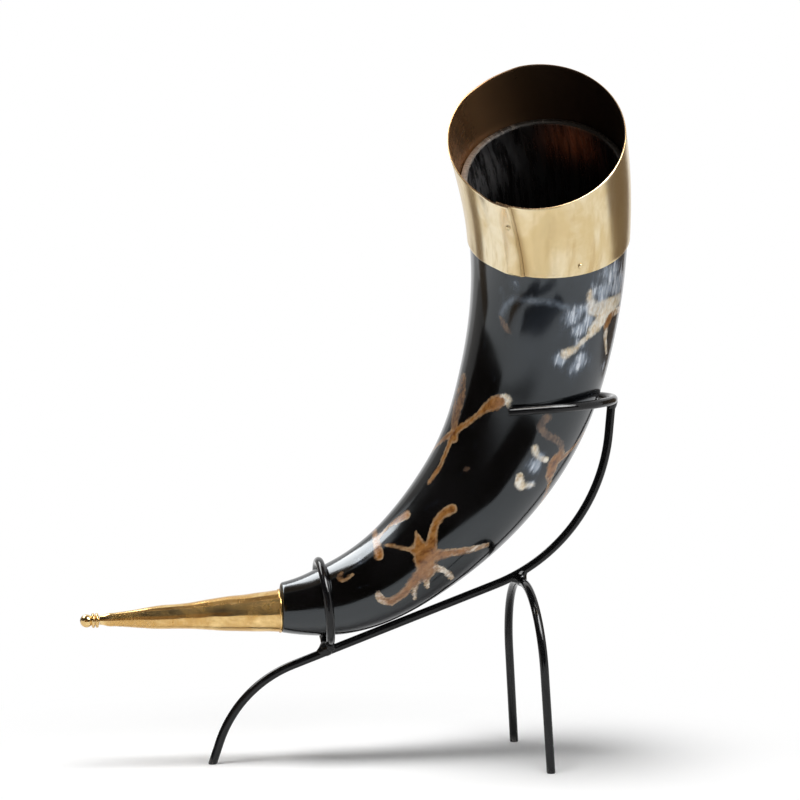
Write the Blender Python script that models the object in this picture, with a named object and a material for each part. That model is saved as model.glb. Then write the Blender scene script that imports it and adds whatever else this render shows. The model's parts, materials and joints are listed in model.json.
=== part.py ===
"""Drinking horn on a stand of bent steel rod.

The horn is hollow, with a lap-seamed brass collar round its mouth and a brass ferrule and finial on its
cut tail. The stand is a long spine that is also the front leg, an arch for the two rear legs, an open
fork round the wide part of the horn and a hoop round its tail, all welded.

Metres, +Z up. +X runs from the ferrule to the mouth, and -Y is the side that the mouth leans to.
"""

import math

import bmesh
import bpy
import numpy as np
from mathutils import Matrix, Vector

# Fits
SEAT_GAP = 0.0003  # between pieces that touch

# Horn: sections along its centre line, measured from the cut tail to the rim of the collar
SECTION_AT = (0.000, 0.026, 0.064, 0.110, 0.160, 0.206, 0.240, 0.291)
SECTION_HEADING = (0.5, 16.0, 38.0, 53.0, 73.0, 86.5, 97.0, 110.0)  # degrees up from +X
SECTION_LEAN = (0.0, 0.0, 0.0, 0.0, 3.0, 14.0, 28.0, 35.0)  # degrees towards -Y
SECTION_WIDTH = (0.0229, 0.0340, 0.0430, 0.0541, 0.0648, 0.0696, 0.0728, 0.0783)
SECTION_DEPTH = (0.0229, 0.0340, 0.0430, 0.0547, 0.0662, 0.0719, 0.0762, 0.0829)
HORN_TAIL_X = -0.0551
HORN_EDGE_DROP = 0.0230  # of the horn's cut edge below the rim, inside the collar
MOUTH_SLANT = 11.5  # degrees that the rim is off square, low at the front
MOUTH_WALL = 0.0034
TAIL_WALL = 0.0070
CAVITY_END_AT = 0.062
CAVITY_END_LENGTH = 0.014  # of the rounded end
TENON_LENGTH = 0.026
TENON_CHAMFER = 0.001

# Brass collar round the mouth, with its rivet and tacks. Angles run round the section from its
# concave side, and 90 degrees faces the front.
COLLAR_HEIGHT = 0.0557  # along the horn
COLLAR_SHEET = 0.0007
COLLAR_SEAM_ANGLE = 51.0  # at the rim
COLLAR_SEAM_SKEW = 11.0  # degrees further round at the lower edge
COLLAR_LAP = 0.0070
COLLAR_LAP_RAMP = 0.0040  # over which the upper layer climbs onto the lower one
TACK_ANGLES = (100.0, 220.0, 340.0)
TACK_UP = 0.0070  # from the collar's lower edge
TACK_SHANK = 0.0012
TACK_HEAD = 0.0024
TACK_HEAD_HEIGHT = 0.0006
TACK_BITE = 0.0014  # into the horn
RIVET_UP = 0.0061  # from the horn's cut edge

# Brass ferrule and finial on the tail
FERRULE_SLOPE = 1.9  # degrees that its axis falls towards the tip
FERRULE_DROP = 0.0018  # of its axis below the centre of the tail
FERRULE_LENGTH = 0.0831
FERRULE_DIAMETER = 0.0184
FERRULE_WALL = 0.0009
FERRULE_LIP = 0.0004
FERRULE_LIP_LENGTH = 0.0012
NOSE_DIAMETER = 0.0042
NOSE_LENGTH = 0.0065
FERRULE_TACK_UP = 0.0030
FERRULE_TACK_ANGLE = 100.0
BALL_DIAMETER = 0.0060
BEAD_DIAMETER = 0.0068
BEAD_LENGTH = 0.0014
GROOVE_DIAMETER = 0.0044
GROOVE_LENGTH = 0.0003
STEM_LENGTH = 0.0120

# Steel rod of the stand
ROD_DIAMETER = 0.0040
FRONT_FOOT_X = -0.0870
FRONT_LEG_SLOPE = 71.7
FRONT_BEND_RADIUS = 0.0570
SPINE_HEIGHT = 0.0642  # of the spine's straight at X = 0
SPINE_SLOPE = 20.8
REAR_BEND_RADIUS = 0.0820
POST_SLOPE = 85.0
LEG_JOIN_X = 0.0550
LEG_SPREAD = 0.0883
LEG_TOP_SPREAD = 0.0833
LEG_BEND_RADIUS = 0.0381
LEG_FOOT_BACK = 0.0050  # feet behind the arch's top
LEG_SKEW = 1.9  # degrees that the arch is off square to the spine, seen from above
CRADLE_HEIGHT = 0.1647  # where the fork crosses the horn's centre line
CRADLE_TILT = 3.5  # degrees that the arms fall towards their ends
CRADLE_BACK_GAP = 0.0054  # behind the horn
CRADLE_ARM_PAST = 0.0120  # arm ends past the horn's centre
RING_AT = 0.0196  # along the horn
RING_TILT = 6.0
RING_TWIST = 0.0019  # sideways step from one end of the hoop to the other
RING_END_SPREAD = 0.0052
RING_END_BEND = 0.0030
WELD_RADIUS = 0.0035
LEG_WELD_RADIUS = 0.0046

# Axis that the horn swings about when it is drawn out along its own curve
LIFT_AXIS_X = -0.0918
LIFT_AXIS_Z = 0.2136

# Facets
HORN_SIDES = 40
HORN_RINGS = 28
CAVITY_RINGS = 20
COLLAR_SIDES = 48
COLLAR_RINGS = 7
TURNED_STEPS = 28
TACK_STEPS = 12
ROD_BEVEL = 3
ARC_STEP = 7.0  # degrees

# Finishes: colour, roughness, metallic
DYED_HORN = ((0.012, 0.012, 0.014), 0.18, 0.0)
BRASS = ((0.78, 0.58, 0.29), 0.22, 1.0)
BLACK_PAINT = ((0.010, 0.010, 0.011), 0.30, 0.0)

ROD_RADIUS = ROD_DIAMETER / 2
RIM_AT = SECTION_AT[-1]
HORN_EDGE_AT = RIM_AT - HORN_EDGE_DROP
COLLAR_FROM = RIM_AT - COLLAR_HEIGHT
FRONT = Vector((0, -1, 0))
UP = Vector((0, 0, 1))


def direction(slope):
    """Unit vector in the XZ plane, slope degrees up from +X."""
    return Vector((math.cos(math.radians(slope)), 0, math.sin(math.radians(slope))))


# Objects

def clear_scene():
    for obj in list(bpy.data.objects):
        bpy.data.objects.remove(obj, do_unlink=True)


def paint(obj, finish):
    colour, roughness, metallic = finish
    material = bpy.data.materials.new(obj.name)
    material.use_nodes = True
    shader = material.node_tree.nodes["Principled BSDF"]
    shader.inputs["Base Color"].default_value = (*colour, 1)
    shader.inputs["Roughness"].default_value = roughness
    shader.inputs["Metallic"].default_value = metallic
    obj.data.materials.append(material)


def add_object(name, bm, finish=None):
    """Smooth-shaded object from a bmesh. Without a finish it is a hidden cutter."""
    bmesh.ops.recalc_face_normals(bm, faces=bm.faces)
    mesh = bpy.data.meshes.new(name)
    bm.to_mesh(mesh)
    bm.free()
    mesh.shade_smooth()
    mesh.set_sharp_from_angle(angle=math.radians(40))
    obj = bpy.data.objects.new(name, mesh)
    bpy.context.collection.objects.link(obj)
    if finish:
        paint(obj, finish)
    else:
        obj.hide_render = True
        obj.display_type = "WIRE"
    return obj


def cut(obj, *cutters):
    for cutter in cutters:
        modifier = obj.modifiers.new("cut " + cutter.name, "BOOLEAN")
        modifier.operation = "DIFFERENCE"
        modifier.object = cutter


def loft(name, rings, finish):
    """Solid with quads between rings of points and a flat cap at each end."""
    bm = bmesh.new()
    loops = [[bm.verts.new(point) for point in ring] for ring in rings]
    count = len(loops[0])
    for one, other in zip(loops, loops[1:]):
        for i in range(count):
            j = (i + 1) % count
            bm.faces.new((one[i], one[j], other[j], other[i]))
    bm.faces.new(loops[0])
    bm.faces.new(loops[-1])
    return add_object(name, bm, finish)


def turned(name, profile, place, steps, finish=None, closed=False):
    """Solid of revolution about local Z. The profile of (radius, height) runs down its outer side."""
    bm = bmesh.new()
    verts = [bm.verts.new((radius, 0, height)) for radius, height in profile]
    for one, other in zip(verts, verts[1:]):
        bm.edges.new((one, other))
    if closed:
        bm.edges.new((verts[-1], verts[0]))
    obj = add_object(name, bm, finish)
    obj.matrix_world = place
    screw = obj.modifiers.new("turn", "SCREW")
    screw.steps = screw.render_steps = steps
    screw.use_merge_vertices = True
    screw.merge_threshold = 0.00001
    screw.use_smooth_shade = True
    return obj


def arc(centre, radius, start, end, steps):
    """Points of a profile's arc, in degrees from the radius axis."""
    turns = [math.radians(start + (end - start) * i / steps) for i in range(steps + 1)]
    return [(centre[0] + radius * math.cos(t), centre[1] + radius * math.sin(t)) for t in turns]


def aim(point, axis):
    """Matrix at a point with local Z along an axis."""
    return Matrix.LocRotScale(point, axis.to_track_quat("Z", "Y"), None)


# Horn

def through_sections(values, along):
    """Monotone cubic through the values at the horn's sections."""
    at = np.array(SECTION_AT)
    values = np.array(values)
    gap = np.diff(at)
    rise = np.diff(values) / gap
    slope = np.concatenate([rise[:1], np.zeros(len(at) - 2), rise[-1:]])
    for i in range(1, len(at) - 1):
        if rise[i - 1] * rise[i] > 0:
            before = 2 * gap[i] + gap[i - 1]
            after = gap[i] + 2 * gap[i - 1]
            slope[i] = (before + after) / (before / rise[i - 1] + after / rise[i])
    i = np.clip(np.searchsorted(at, along, side="right") - 1, 0, len(at) - 2)
    t = (along - at[i]) / gap[i]
    start = (1 + 2 * t) * (1 - t) ** 2 * values[i] + t * (1 - t) ** 2 * gap[i] * slope[i]
    end = t**2 * (3 - 2 * t) * values[i + 1] + t**2 * (t - 1) * gap[i] * slope[i + 1]
    return start + end


class HornForm:
    """The horn's outer surface, by distance along its centre line and angle round the section."""

    def __init__(self, steps=800):
        self.along = np.linspace(0, RIM_AT, steps)
        tangent, inward, _ = self.vectors(self.along)
        step = np.diff(self.along)[:, None] * (tangent[1:] + tangent[:-1]) / 2
        line = np.concatenate([np.zeros((1, 3)), np.cumsum(step, axis=0)]) + (HORN_TAIL_X, 0, 0)
        underside = line - inward * self.half_width(self.along)[:, None]
        self.line = line + (0, 0, self.seat_height(underside))

    def seat_height(self, underside):
        """Lift that leaves the underside just clear of the spine's straight."""
        normal = np.array(direction(SPINE_SLOPE + 90))
        clearance = ((underside - (0, 0, SPINE_HEIGHT)) @ normal).min()
        return (ROD_RADIUS + SEAT_GAP - clearance) / normal[2]

    def half_width(self, along):
        return through_sections(SECTION_WIDTH, along) / 2

    def half_depth(self, along):
        return through_sections(SECTION_DEPTH, along) / 2

    def vectors(self, along):
        """Tangent, vector to the concave side and vector to the front, of each section."""
        heading = np.radians(through_sections(SECTION_HEADING, along))
        lean = np.radians(through_sections(SECTION_LEAN, along))
        level = np.cos(lean)
        tangent = np.stack([np.cos(heading) * level, -np.sin(lean), np.sin(heading) * level], -1)
        inward = np.stack([-np.sin(heading), 0 * heading, np.cos(heading)], -1)
        return tangent, inward, np.cross(tangent, inward)

    def centre(self, along):
        return np.stack([np.interp(along, self.along, self.line[:, i]) for i in range(3)], -1)

    def points(self, along, angle, offset=0.0, scale=1.0):
        """Surface points at distances and angles (radians), moved out by an offset and scaled."""
        along, angle = np.broadcast_arrays(np.asarray(along, float), angle)
        tangent, inward, front = self.vectors(along)
        across = (self.half_width(along) + offset) * scale * np.cos(angle)
        forward = (self.half_depth(along) + offset) * scale * np.sin(angle)
        on_collar = np.clip((along - COLLAR_FROM) / (RIM_AT - COLLAR_FROM), 0, 1)
        shift = -math.tan(math.radians(MOUTH_SLANT)) * on_collar * forward
        out = across[:, None] * inward + forward[:, None] * front + shift[:, None] * tangent
        return self.centre(along) + out

    def surface(self, along, angle, offset):
        """One surface point and its outward normal."""
        reach = 0.001
        beside = self.points([along, along], [angle - reach, angle + reach], offset)
        ahead = self.points([along - reach, along + reach], [angle, angle], offset)
        normal = Vector(np.cross(beside[1] - beside[0], ahead[1] - ahead[0])).normalized()
        return Vector(self.points([along], [angle], offset)[0]), normal

    def crossing(self, angle, point, normal):
        """Where the surface line at an angle passes through a plane."""
        line = self.points(self.along, angle)
        height = (line - np.array(point)) @ np.array(normal)
        at = np.interp(0, height, self.along)
        return Vector(self.points([at], [angle])[0])


def ferrule_axis_point(horn, height):
    """Point on the ferrule's axis, by its height over the base."""
    base = Vector(horn.centre(0.0)) - direction(FERRULE_SLOPE + 90) * FERRULE_DROP
    return base - direction(FERRULE_SLOPE) * (SEAT_GAP + height)


def ferrule_radius(height):
    """Outer radius of the ferrule's cone, by its height over the base."""
    t = min(max(height, 0) / (FERRULE_LENGTH - NOSE_LENGTH), 1)
    return (FERRULE_DIAMETER + (NOSE_DIAMETER - FERRULE_DIAMETER) * t) / 2


def horn_wall(along):
    """Wall of the horn, thicker towards the tail."""
    return np.interp(along, (CAVITY_END_AT, HORN_EDGE_AT), (TAIL_WALL, MOUTH_WALL))


def tenon_ring(horn, angles, height, inset=0.0):
    radius = ferrule_radius(height) - FERRULE_WALL - SEAT_GAP - inset
    middle = np.array(ferrule_axis_point(horn, height))
    up = np.array(direction(FERRULE_SLOPE + 90))
    return middle + radius * (np.outer(np.cos(angles), up) + np.outer(np.sin(angles), FRONT))


def make_horn_shell(horn):
    """Tenon, outer skin, mouth edge, cavity and the cavity's rounded end, as one run of rings."""
    angles = np.linspace(0, 2 * math.pi, HORN_SIDES, endpoint=False)
    rings = [
        tenon_ring(horn, angles, TENON_LENGTH, inset=TENON_CHAMFER),
        tenon_ring(horn, angles, TENON_LENGTH - TENON_CHAMFER),
        tenon_ring(horn, angles, -SEAT_GAP),
    ]
    edge_round = MOUTH_WALL / 3
    for along in np.linspace(0, HORN_EDGE_AT - edge_round, HORN_RINGS):
        rings.append(horn.points(along, angles))
    for depth in (edge_round, MOUTH_WALL - edge_round):
        rings.append(horn.points(HORN_EDGE_AT, angles, offset=-depth))
    dome_from = CAVITY_END_AT + CAVITY_END_LENGTH
    for along in np.linspace(HORN_EDGE_AT - edge_round, dome_from, CAVITY_RINGS):
        rings.append(horn.points(along, angles, offset=-horn_wall(along)))
    for turn in np.radians((30, 55, 75)):
        along = dome_from - CAVITY_END_LENGTH * math.sin(turn)
        rings.append(horn.points(along, angles, offset=-horn_wall(along), scale=math.cos(turn)))
    return loft("horn_shell", rings, DYED_HORN)


# Collar

def collar_angle(length):
    """Angle round the section, in radians, for a length round the collar."""
    return length / (SECTION_WIDTH[-1] / 2)


def seam_angle(along):
    """Angle of the collar's upper edge at its seam, in radians."""
    t = (RIM_AT - along) / (RIM_AT - COLLAR_FROM)
    return np.radians(COLLAR_SEAM_ANGLE + COLLAR_SEAM_SKEW * t)


def make_collar(horn):
    """Sheet that starts under its own end and runs round the horn to lie on top of its start."""
    along = np.linspace(COLLAR_FROM, RIM_AT, COLLAR_RINGS)
    there_and_back = np.concatenate([along, along[::-1]])
    lap = -collar_angle(COLLAR_LAP)
    climb = lap - collar_angle(SEAT_GAP + COLLAR_LAP_RAMP)
    body = np.linspace(lap - 2 * math.pi, climb, COLLAR_SIDES)
    turns = np.concatenate([body, np.linspace(climb, 0, 7)[1:]])
    rings = []
    for turn in turns:
        t = min(max((turn - climb) / collar_angle(COLLAR_LAP_RAMP), 0), 1)
        inner = SEAT_GAP + (COLLAR_SHEET + SEAT_GAP) * t * t * (3 - 2 * t)
        offset = np.repeat([inner, inner + COLLAR_SHEET], COLLAR_RINGS)
        rings.append(horn.points(there_and_back, seam_angle(there_and_back) + turn, offset))
    return loft("mouth_collar", rings, BRASS)


def dome(radius, height, foot):
    """Profile of a domed head, from its crown down to its edge."""
    turns = [math.radians(90 - 30 * i) for i in range(4)]
    return [(radius * math.cos(t), foot + height * math.sin(t)) for t in turns]


def make_tack(name, place, length, through):
    """Domed tack standing on local Z = 0, with the hole that it needs cut through other pieces."""
    shank = TACK_SHANK / 2
    profile = dome(TACK_HEAD / 2, TACK_HEAD_HEIGHT, SEAT_GAP)
    profile += [(shank, SEAT_GAP), (shank, -length), (0, -length)]
    tack = turned(name, profile, place, TACK_STEPS, BRASS)
    drill_hole(name, place, length, through)
    return tack


def make_rivet(name, place, length, through):
    """Rivet with a head outside and a flatter one inside, through a sheet of this thickness."""
    shank = TACK_SHANK / 2
    outer = dome(TACK_HEAD / 2, TACK_HEAD_HEIGHT, SEAT_GAP)
    under = -length - SEAT_GAP
    inner = [(TACK_HEAD / 2, under), (shank, under - TACK_HEAD_HEIGHT), (0, under - TACK_HEAD_HEIGHT)]
    profile = outer + [(shank, SEAT_GAP), (shank, under)] + inner
    rivet = turned(name, profile, place, TACK_STEPS, BRASS)
    drill_hole(name, place, length, through)
    return rivet


def drill_hole(name, place, length, through):
    radius = TACK_SHANK / 2 + SEAT_GAP
    low = -length - SEAT_GAP
    profile = [(0, TACK_HEAD), (radius, TACK_HEAD), (radius, low), (0, low)]
    drill = turned(name + "_drill", profile, place, TACK_STEPS)
    for piece in through:
        cut(piece, drill)
    return drill


def make_collar_fixings(horn, shell, collar):
    face = SEAT_GAP + COLLAR_SHEET
    fixings = []
    for number, degrees in enumerate(TACK_ANGLES, 1):
        place = aim(*horn.surface(COLLAR_FROM + TACK_UP, math.radians(degrees), face))
        length = face + TACK_BITE
        fixings.append(make_tack(f"collar_tack_{number}", place, length, (shell, collar)))
    lap_face = face + SEAT_GAP + COLLAR_SHEET
    rivet_at = HORN_EDGE_AT + RIVET_UP
    mid_lap = seam_angle(rivet_at) - collar_angle(COLLAR_LAP) / 2
    place = aim(*horn.surface(rivet_at, mid_lap, lap_face))
    fixings.append(make_rivet("collar_rivet", place, lap_face - SEAT_GAP, (collar,)))
    return fixings


# Ferrule and finial

def make_ferrule(horn, shell):
    """Hollow cone with a rolled lip at its base, and the tack that holds it to the tenon."""
    base = FERRULE_DIAMETER / 2
    nose = NOSE_DIAMETER / 2
    nose_from = FERRULE_LENGTH - NOSE_LENGTH
    lip_top = FERRULE_LIP_LENGTH
    lip = base + FERRULE_LIP
    bore = nose - FERRULE_WALL
    outer = [(nose, FERRULE_LENGTH), (nose, nose_from), (ferrule_radius(lip_top), lip_top)]
    outer += [(lip, lip_top * 0.7), (lip, lip_top * 0.3), (base, 0)]
    inner = [(base - FERRULE_WALL, 0), (bore, nose_from), (bore, FERRULE_LENGTH)]
    place = aim(ferrule_axis_point(horn, 0), -direction(FERRULE_SLOPE))
    ferrule = turned("tip_ferrule", outer + inner, place, TURNED_STEPS, BRASS, closed=True)
    turn = Matrix.Rotation(math.radians(FERRULE_TACK_ANGLE), 3, -direction(FERRULE_SLOPE))
    outward = turn @ direction(FERRULE_SLOPE + 90)
    foot = ferrule_axis_point(horn, FERRULE_TACK_UP) + outward * ferrule_radius(FERRULE_TACK_UP)
    length = FERRULE_WALL + SEAT_GAP + TACK_BITE
    tack = make_tack("ferrule_tack", aim(foot, outward), length, (ferrule, shell))
    return ferrule, tack


def make_finial(horn):
    """Ball, two beads and a stem that plugs the ferrule's nose."""
    groove = GROOVE_DIAMETER / 2
    bead_round = BEAD_LENGTH / 2
    bead_core = BEAD_DIAMETER / 2 - bead_round
    ball = BALL_DIAMETER / 2
    stem = NOSE_DIAMETER / 2 - FERRULE_WALL - SEAT_GAP
    seat = SEAT_GAP
    first = seat + GROOVE_LENGTH + bead_round
    second = first + BEAD_LENGTH + GROOVE_LENGTH
    ball_foot = second + bead_round + GROOVE_LENGTH
    ball_centre = ball_foot + math.sqrt(ball**2 - groove**2)
    ball_end = -math.degrees(math.acos(groove / ball))
    profile = arc((0, ball_centre), ball, 90, ball_end, 10)
    for middle in (second, first):
        profile.append((groove, middle + bead_round))
        profile += arc((bead_core, middle), bead_round, 80, -80, 6)
        profile.append((groove, middle - bead_round))
    profile += [(groove, seat), (stem, seat), (stem, seat - STEM_LENGTH), (0, seat - STEM_LENGTH)]
    place = aim(ferrule_axis_point(horn, FERRULE_LENGTH), -direction(FERRULE_SLOPE))
    return turned("tip_finial", profile, place, TURNED_STEPS, BRASS)


# Stand

def bent_path(corners, radii):
    """Straight runs between corner points, with an arc of the given radius at each inner corner."""
    path = [corners[0]]
    for before, corner, after, radius in zip(corners, corners[1:], corners[2:], radii):
        back = (before - corner).normalized()
        ahead = (after - corner).normalized()
        bend = math.pi - back.angle(ahead)
        centre = corner + (back + ahead).normalized() * radius / math.cos(bend / 2)
        start = corner + back * radius * math.tan(bend / 2) - centre
        axis = back.cross(ahead)
        steps = max(2, math.ceil(math.degrees(bend) / ARC_STEP))
        for i in range(steps + 1):
            path.append(centre + Matrix.Rotation(-bend * i / steps, 3, axis) @ start)
    return path + [corners[-1]]


def rod(name, path, finish=None, radius=ROD_RADIUS):
    """Round rod along a path, cut off flat at the floor."""
    curve = bpy.data.curves.new(name, "CURVE")
    curve.dimensions = "3D"
    curve.bevel_depth = radius
    curve.bevel_resolution = ROD_BEVEL
    curve.use_fill_caps = True
    spline = curve.splines.new("POLY")
    spline.points.add(len(path) - 1)
    for point, place in zip(spline.points, path):
        point.co = (*place, 1)
    guide = bpy.data.objects.new(name + "_path", curve)
    bm = bmesh.new()
    bm.from_mesh(guide.to_mesh())
    bpy.data.objects.remove(guide)
    bmesh.ops.remove_doubles(bm, verts=bm.verts, dist=0.00001)
    everything = bm.verts[:] + bm.edges[:] + bm.faces[:]
    bmesh.ops.bisect_plane(bm, geom=everything, plane_co=(0, 0, 0), plane_no=-UP, clear_outer=True)
    bmesh.ops.holes_fill(bm, edges=bm.edges)
    return add_object(name, bm, finish)


def meet(point, slope, other_point, other_slope):
    """Crossing of two lines in the XZ plane."""
    along, other = direction(slope), direction(other_slope)
    between = other_point - point
    reach = between.cross(other).y / along.cross(other).y
    return point + along * reach


class StandForm:
    """Paths of the stand's rods, round a horn."""

    def __init__(self, horn):
        self.horn = horn
        self.place_cradle()
        self.place_spine()
        self.place_legs()
        self.place_ring()

    def place_cradle(self):
        """Fork in a tilted plane: its arms touch the horn's sides, and its bend passes behind."""
        horn = self.horn
        at = np.interp(CRADLE_HEIGHT, horn.line[:, 2], horn.along)
        centre = Vector(horn.centre(at))
        back, normal = direction(CRADLE_TILT), direction(CRADLE_TILT + 90)
        near, behind, far = [horn.crossing(math.pi * turn, centre, normal) for turn in (0.5, 1.0, 1.5)]
        centre.y = (near.y + far.y) / 2
        reach = (behind - centre).dot(back) + CRADLE_BACK_GAP + ROD_RADIUS
        radius = (far.y - near.y) / 2 + SEAT_GAP + ROD_RADIUS
        middle = centre + back * (reach - radius)
        steps = math.ceil(180 / ARC_STEP)
        turns = [math.pi * i / steps for i in range(steps + 1)]
        bend = [middle + (back * math.sin(t) + FRONT * math.cos(t)) * radius for t in turns]
        arm_end = centre - back * CRADLE_ARM_PAST
        self.cradle = [arm_end + FRONT * radius] + bend + [arm_end - FRONT * radius]
        self.cradle_back = centre + back * reach

    def place_spine(self):
        """Front leg, rising straight and post, all in the XZ plane."""
        post = direction(POST_SLOPE)
        top = self.cradle_back - post * (ROD_RADIUS + SEAT_GAP)
        top.y = 0
        on_straight = Vector((0, 0, SPINE_HEIGHT))
        foot = Vector((FRONT_FOOT_X, 0, 0))
        front = meet(foot, FRONT_LEG_SLOPE, on_straight, SPINE_SLOPE)
        rear = meet(on_straight, SPINE_SLOPE, top, POST_SLOPE)
        below = foot - direction(FRONT_LEG_SLOPE) * ROD_DIAMETER
        self.spine = bent_path([below, front, rear, top], [FRONT_BEND_RADIUS, REAR_BEND_RADIUS])
        self.spine_top = top

    def spine_at(self, x):
        """Point of the spine over an X, and its direction there."""
        for one, other in zip(self.spine, self.spine[1:]):
            if one.x <= x <= other.x:
                return one.lerp(other, (x - one.x) / (other.x - one.x)), (other - one).normalized()

    def place_legs(self):
        """Arch whose top lies across the spine, underneath it."""
        on_spine, along = self.spine_at(LEG_JOIN_X)
        below = along.cross(FRONT)
        below *= -math.copysign(1, below.z)
        top = on_spine + below * (ROD_DIAMETER + SEAT_GAP)
        foot = Vector((top.x + LEG_FOOT_BACK, 0, 0))
        corners = []
        across = Matrix.Rotation(math.radians(LEG_SKEW), 3, UP) @ FRONT
        for side in (across, -across):
            knee = top + side * LEG_TOP_SPREAD / 2
            toe = foot + side * LEG_SPREAD / 2
            toe += (toe - knee).normalized() * ROD_DIAMETER
            corners.append((toe, knee))
        (near_toe, near_knee), (far_toe, far_knee) = corners
        bends = [LEG_BEND_RADIUS, LEG_BEND_RADIUS]
        self.legs = bent_path([near_toe, near_knee, far_knee, far_toe], bends)
        self.leg_joint = on_spine.lerp(top, 0.5)

    def place_ring(self):
        """Hoop round the tail, its ends turned down side by side onto the spine."""
        horn = self.horn
        across, up = direction(RING_TILT), direction(RING_TILT + 90)
        angles = np.linspace(0, 2 * math.pi, HORN_SIDES, endpoint=False)
        section = [horn.crossing(angle, horn.centre(RING_AT), across) for angle in angles]
        middle = sum(section, Vector()) / HORN_SIDES
        taper = np.gradient(horn.half_width(horn.along), horn.along).max()
        clear = (ROD_RADIUS + SEAT_GAP) * math.hypot(1, taper) + taper * RING_TWIST / 2
        radius = max((point - middle).length for point in section) + clear
        end = RING_END_SPREAD / 2
        turn_out = end + RING_END_BEND
        turn_height = -math.sqrt((radius + RING_END_BEND) ** 2 - turn_out**2)
        leave = math.atan2(turn_height, turn_out)
        foot, _ = self.spine_at(middle.x)
        foot_height = min((foot - middle).dot(up) + ROD_RADIUS / 2, turn_height - SEAT_GAP)
        steps = math.ceil(360 / ARC_STEP)
        half = [(end, foot_height)]
        for i in range(7):
            t = math.pi + (leave * i / 6)
            half.append((turn_out + RING_END_BEND * math.cos(t), turn_height + RING_END_BEND * math.sin(t)))
        hoop = [leave + (math.pi - 2 * leave) * i / steps for i in range(1, steps)]
        outline = half + [(radius * math.cos(t), radius * math.sin(t)) for t in hoop]
        outline += [(-side, height) for side, height in reversed(half)]
        self.ring = []
        for i, (side, height) in enumerate(outline):
            step = RING_TWIST * (0.5 - i / (len(outline) - 1))
            self.ring.append(middle + FRONT * side + up * height + across * step)
        self.ring_joint = foot + UP * ROD_RADIUS


def make_weld(name, joint, radius, cutters):
    """Bead round a joint, fitted to the rods that it joins."""
    bm = bmesh.new()
    bmesh.ops.create_icosphere(bm, subdivisions=3, radius=radius, matrix=Matrix.Translation(joint))
    bead = add_object(name, bm, BLACK_PAINT)
    cut(bead, *cutters)
    return bead


def make_stand(stand):
    paths = {
        "spine_rod": stand.spine,
        "rear_leg_arch": stand.legs,
        "cradle_fork": stand.cradle,
        "tail_ring": stand.ring,
    }
    rods = {name: rod(name, path, BLACK_PAINT) for name, path in paths.items()}
    room = ROD_RADIUS + SEAT_GAP
    cutters = {name: rod(name + "_room", path, radius=room) for name, path in paths.items()}
    spine = cutters["spine_rod"]
    cut(rods["tail_ring"], spine)
    welds = [
        make_weld("cradle_weld", stand.spine_top, WELD_RADIUS, (spine, cutters["cradle_fork"])),
        make_weld("leg_weld", stand.leg_joint, LEG_WELD_RADIUS, (spine, cutters["rear_leg_arch"])),
        make_weld("ring_weld", stand.ring_joint, WELD_RADIUS, (spine, cutters["tail_ring"])),
    ]
    return list(rods.values()) + welds


# Assembly

def add_empty(name, place, parent=None):
    empty = bpy.data.objects.new(name, None)
    empty.empty_display_size = 0.02
    empty.location = place
    empty.parent = parent
    bpy.context.collection.objects.link(empty)
    return empty


def hold(pieces, parent, origin):
    """Parents pieces that are modelled in the shared frame to an empty at an origin."""
    for piece in pieces:
        piece.parent = parent
        piece.matrix_parent_inverse = Matrix.Translation(-origin)


def footprint_centre(pieces):
    """Middle of the pieces' bounding box, on the floor."""
    bpy.context.view_layer.update()
    graph = bpy.context.evaluated_depsgraph_get()
    points = []
    for piece in pieces:
        shape = piece.evaluated_get(graph)
        points += [shape.matrix_world @ vert.co for vert in shape.to_mesh().vertices]
    low = [min(point[i] for point in points) for i in range(2)]
    high = [max(point[i] for point in points) for i in range(2)]
    return Vector(((low[0] + high[0]) / 2, (low[1] + high[1]) / 2, 0))


def main():
    clear_scene()
    horn = HornForm()
    shell = make_horn_shell(horn)
    collar = make_collar(horn)
    horn_pieces = [shell, collar, *make_collar_fixings(horn, shell, collar)]
    horn_pieces += [*make_ferrule(horn, shell), make_finial(horn)]
    stand_pieces = make_stand(StandForm(horn))
    centre = footprint_centre(horn_pieces + stand_pieces)
    lift_axis = Vector((LIFT_AXIS_X, 0, LIFT_AXIS_Z))
    assembly = add_empty("drinking_horn", -centre)
    hold(stand_pieces, assembly, Vector())
    hold(horn_pieces, add_empty("horn_lift_axis", lift_axis, assembly), lift_axis)
    helpers = [obj for obj in bpy.data.objects if obj.hide_render]
    hold(helpers, assembly, Vector())


main()
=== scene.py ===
"""Looks of the drinking horn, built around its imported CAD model."""

import json
import math

import bpy
import numpy as np
from mathutils import Matrix, Vector, noise


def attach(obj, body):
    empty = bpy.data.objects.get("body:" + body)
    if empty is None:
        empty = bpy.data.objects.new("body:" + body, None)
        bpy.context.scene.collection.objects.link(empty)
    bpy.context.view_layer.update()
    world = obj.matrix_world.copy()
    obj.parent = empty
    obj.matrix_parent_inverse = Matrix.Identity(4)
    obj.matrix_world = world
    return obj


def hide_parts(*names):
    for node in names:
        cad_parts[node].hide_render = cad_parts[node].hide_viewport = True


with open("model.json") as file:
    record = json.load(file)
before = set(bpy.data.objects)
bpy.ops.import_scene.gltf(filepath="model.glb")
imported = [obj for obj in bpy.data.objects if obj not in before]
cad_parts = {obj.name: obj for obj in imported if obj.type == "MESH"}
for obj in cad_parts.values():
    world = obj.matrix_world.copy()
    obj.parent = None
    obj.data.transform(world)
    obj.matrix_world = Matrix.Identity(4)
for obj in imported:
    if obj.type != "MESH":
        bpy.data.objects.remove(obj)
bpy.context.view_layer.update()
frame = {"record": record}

# Dimensions of the CAD model, in metres and degrees
CENTRE = Vector((0.022183, 0.014964, 0))  # of the CAD model's own frame, in the row frame
SEAT_GAP = 0.0003
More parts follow.
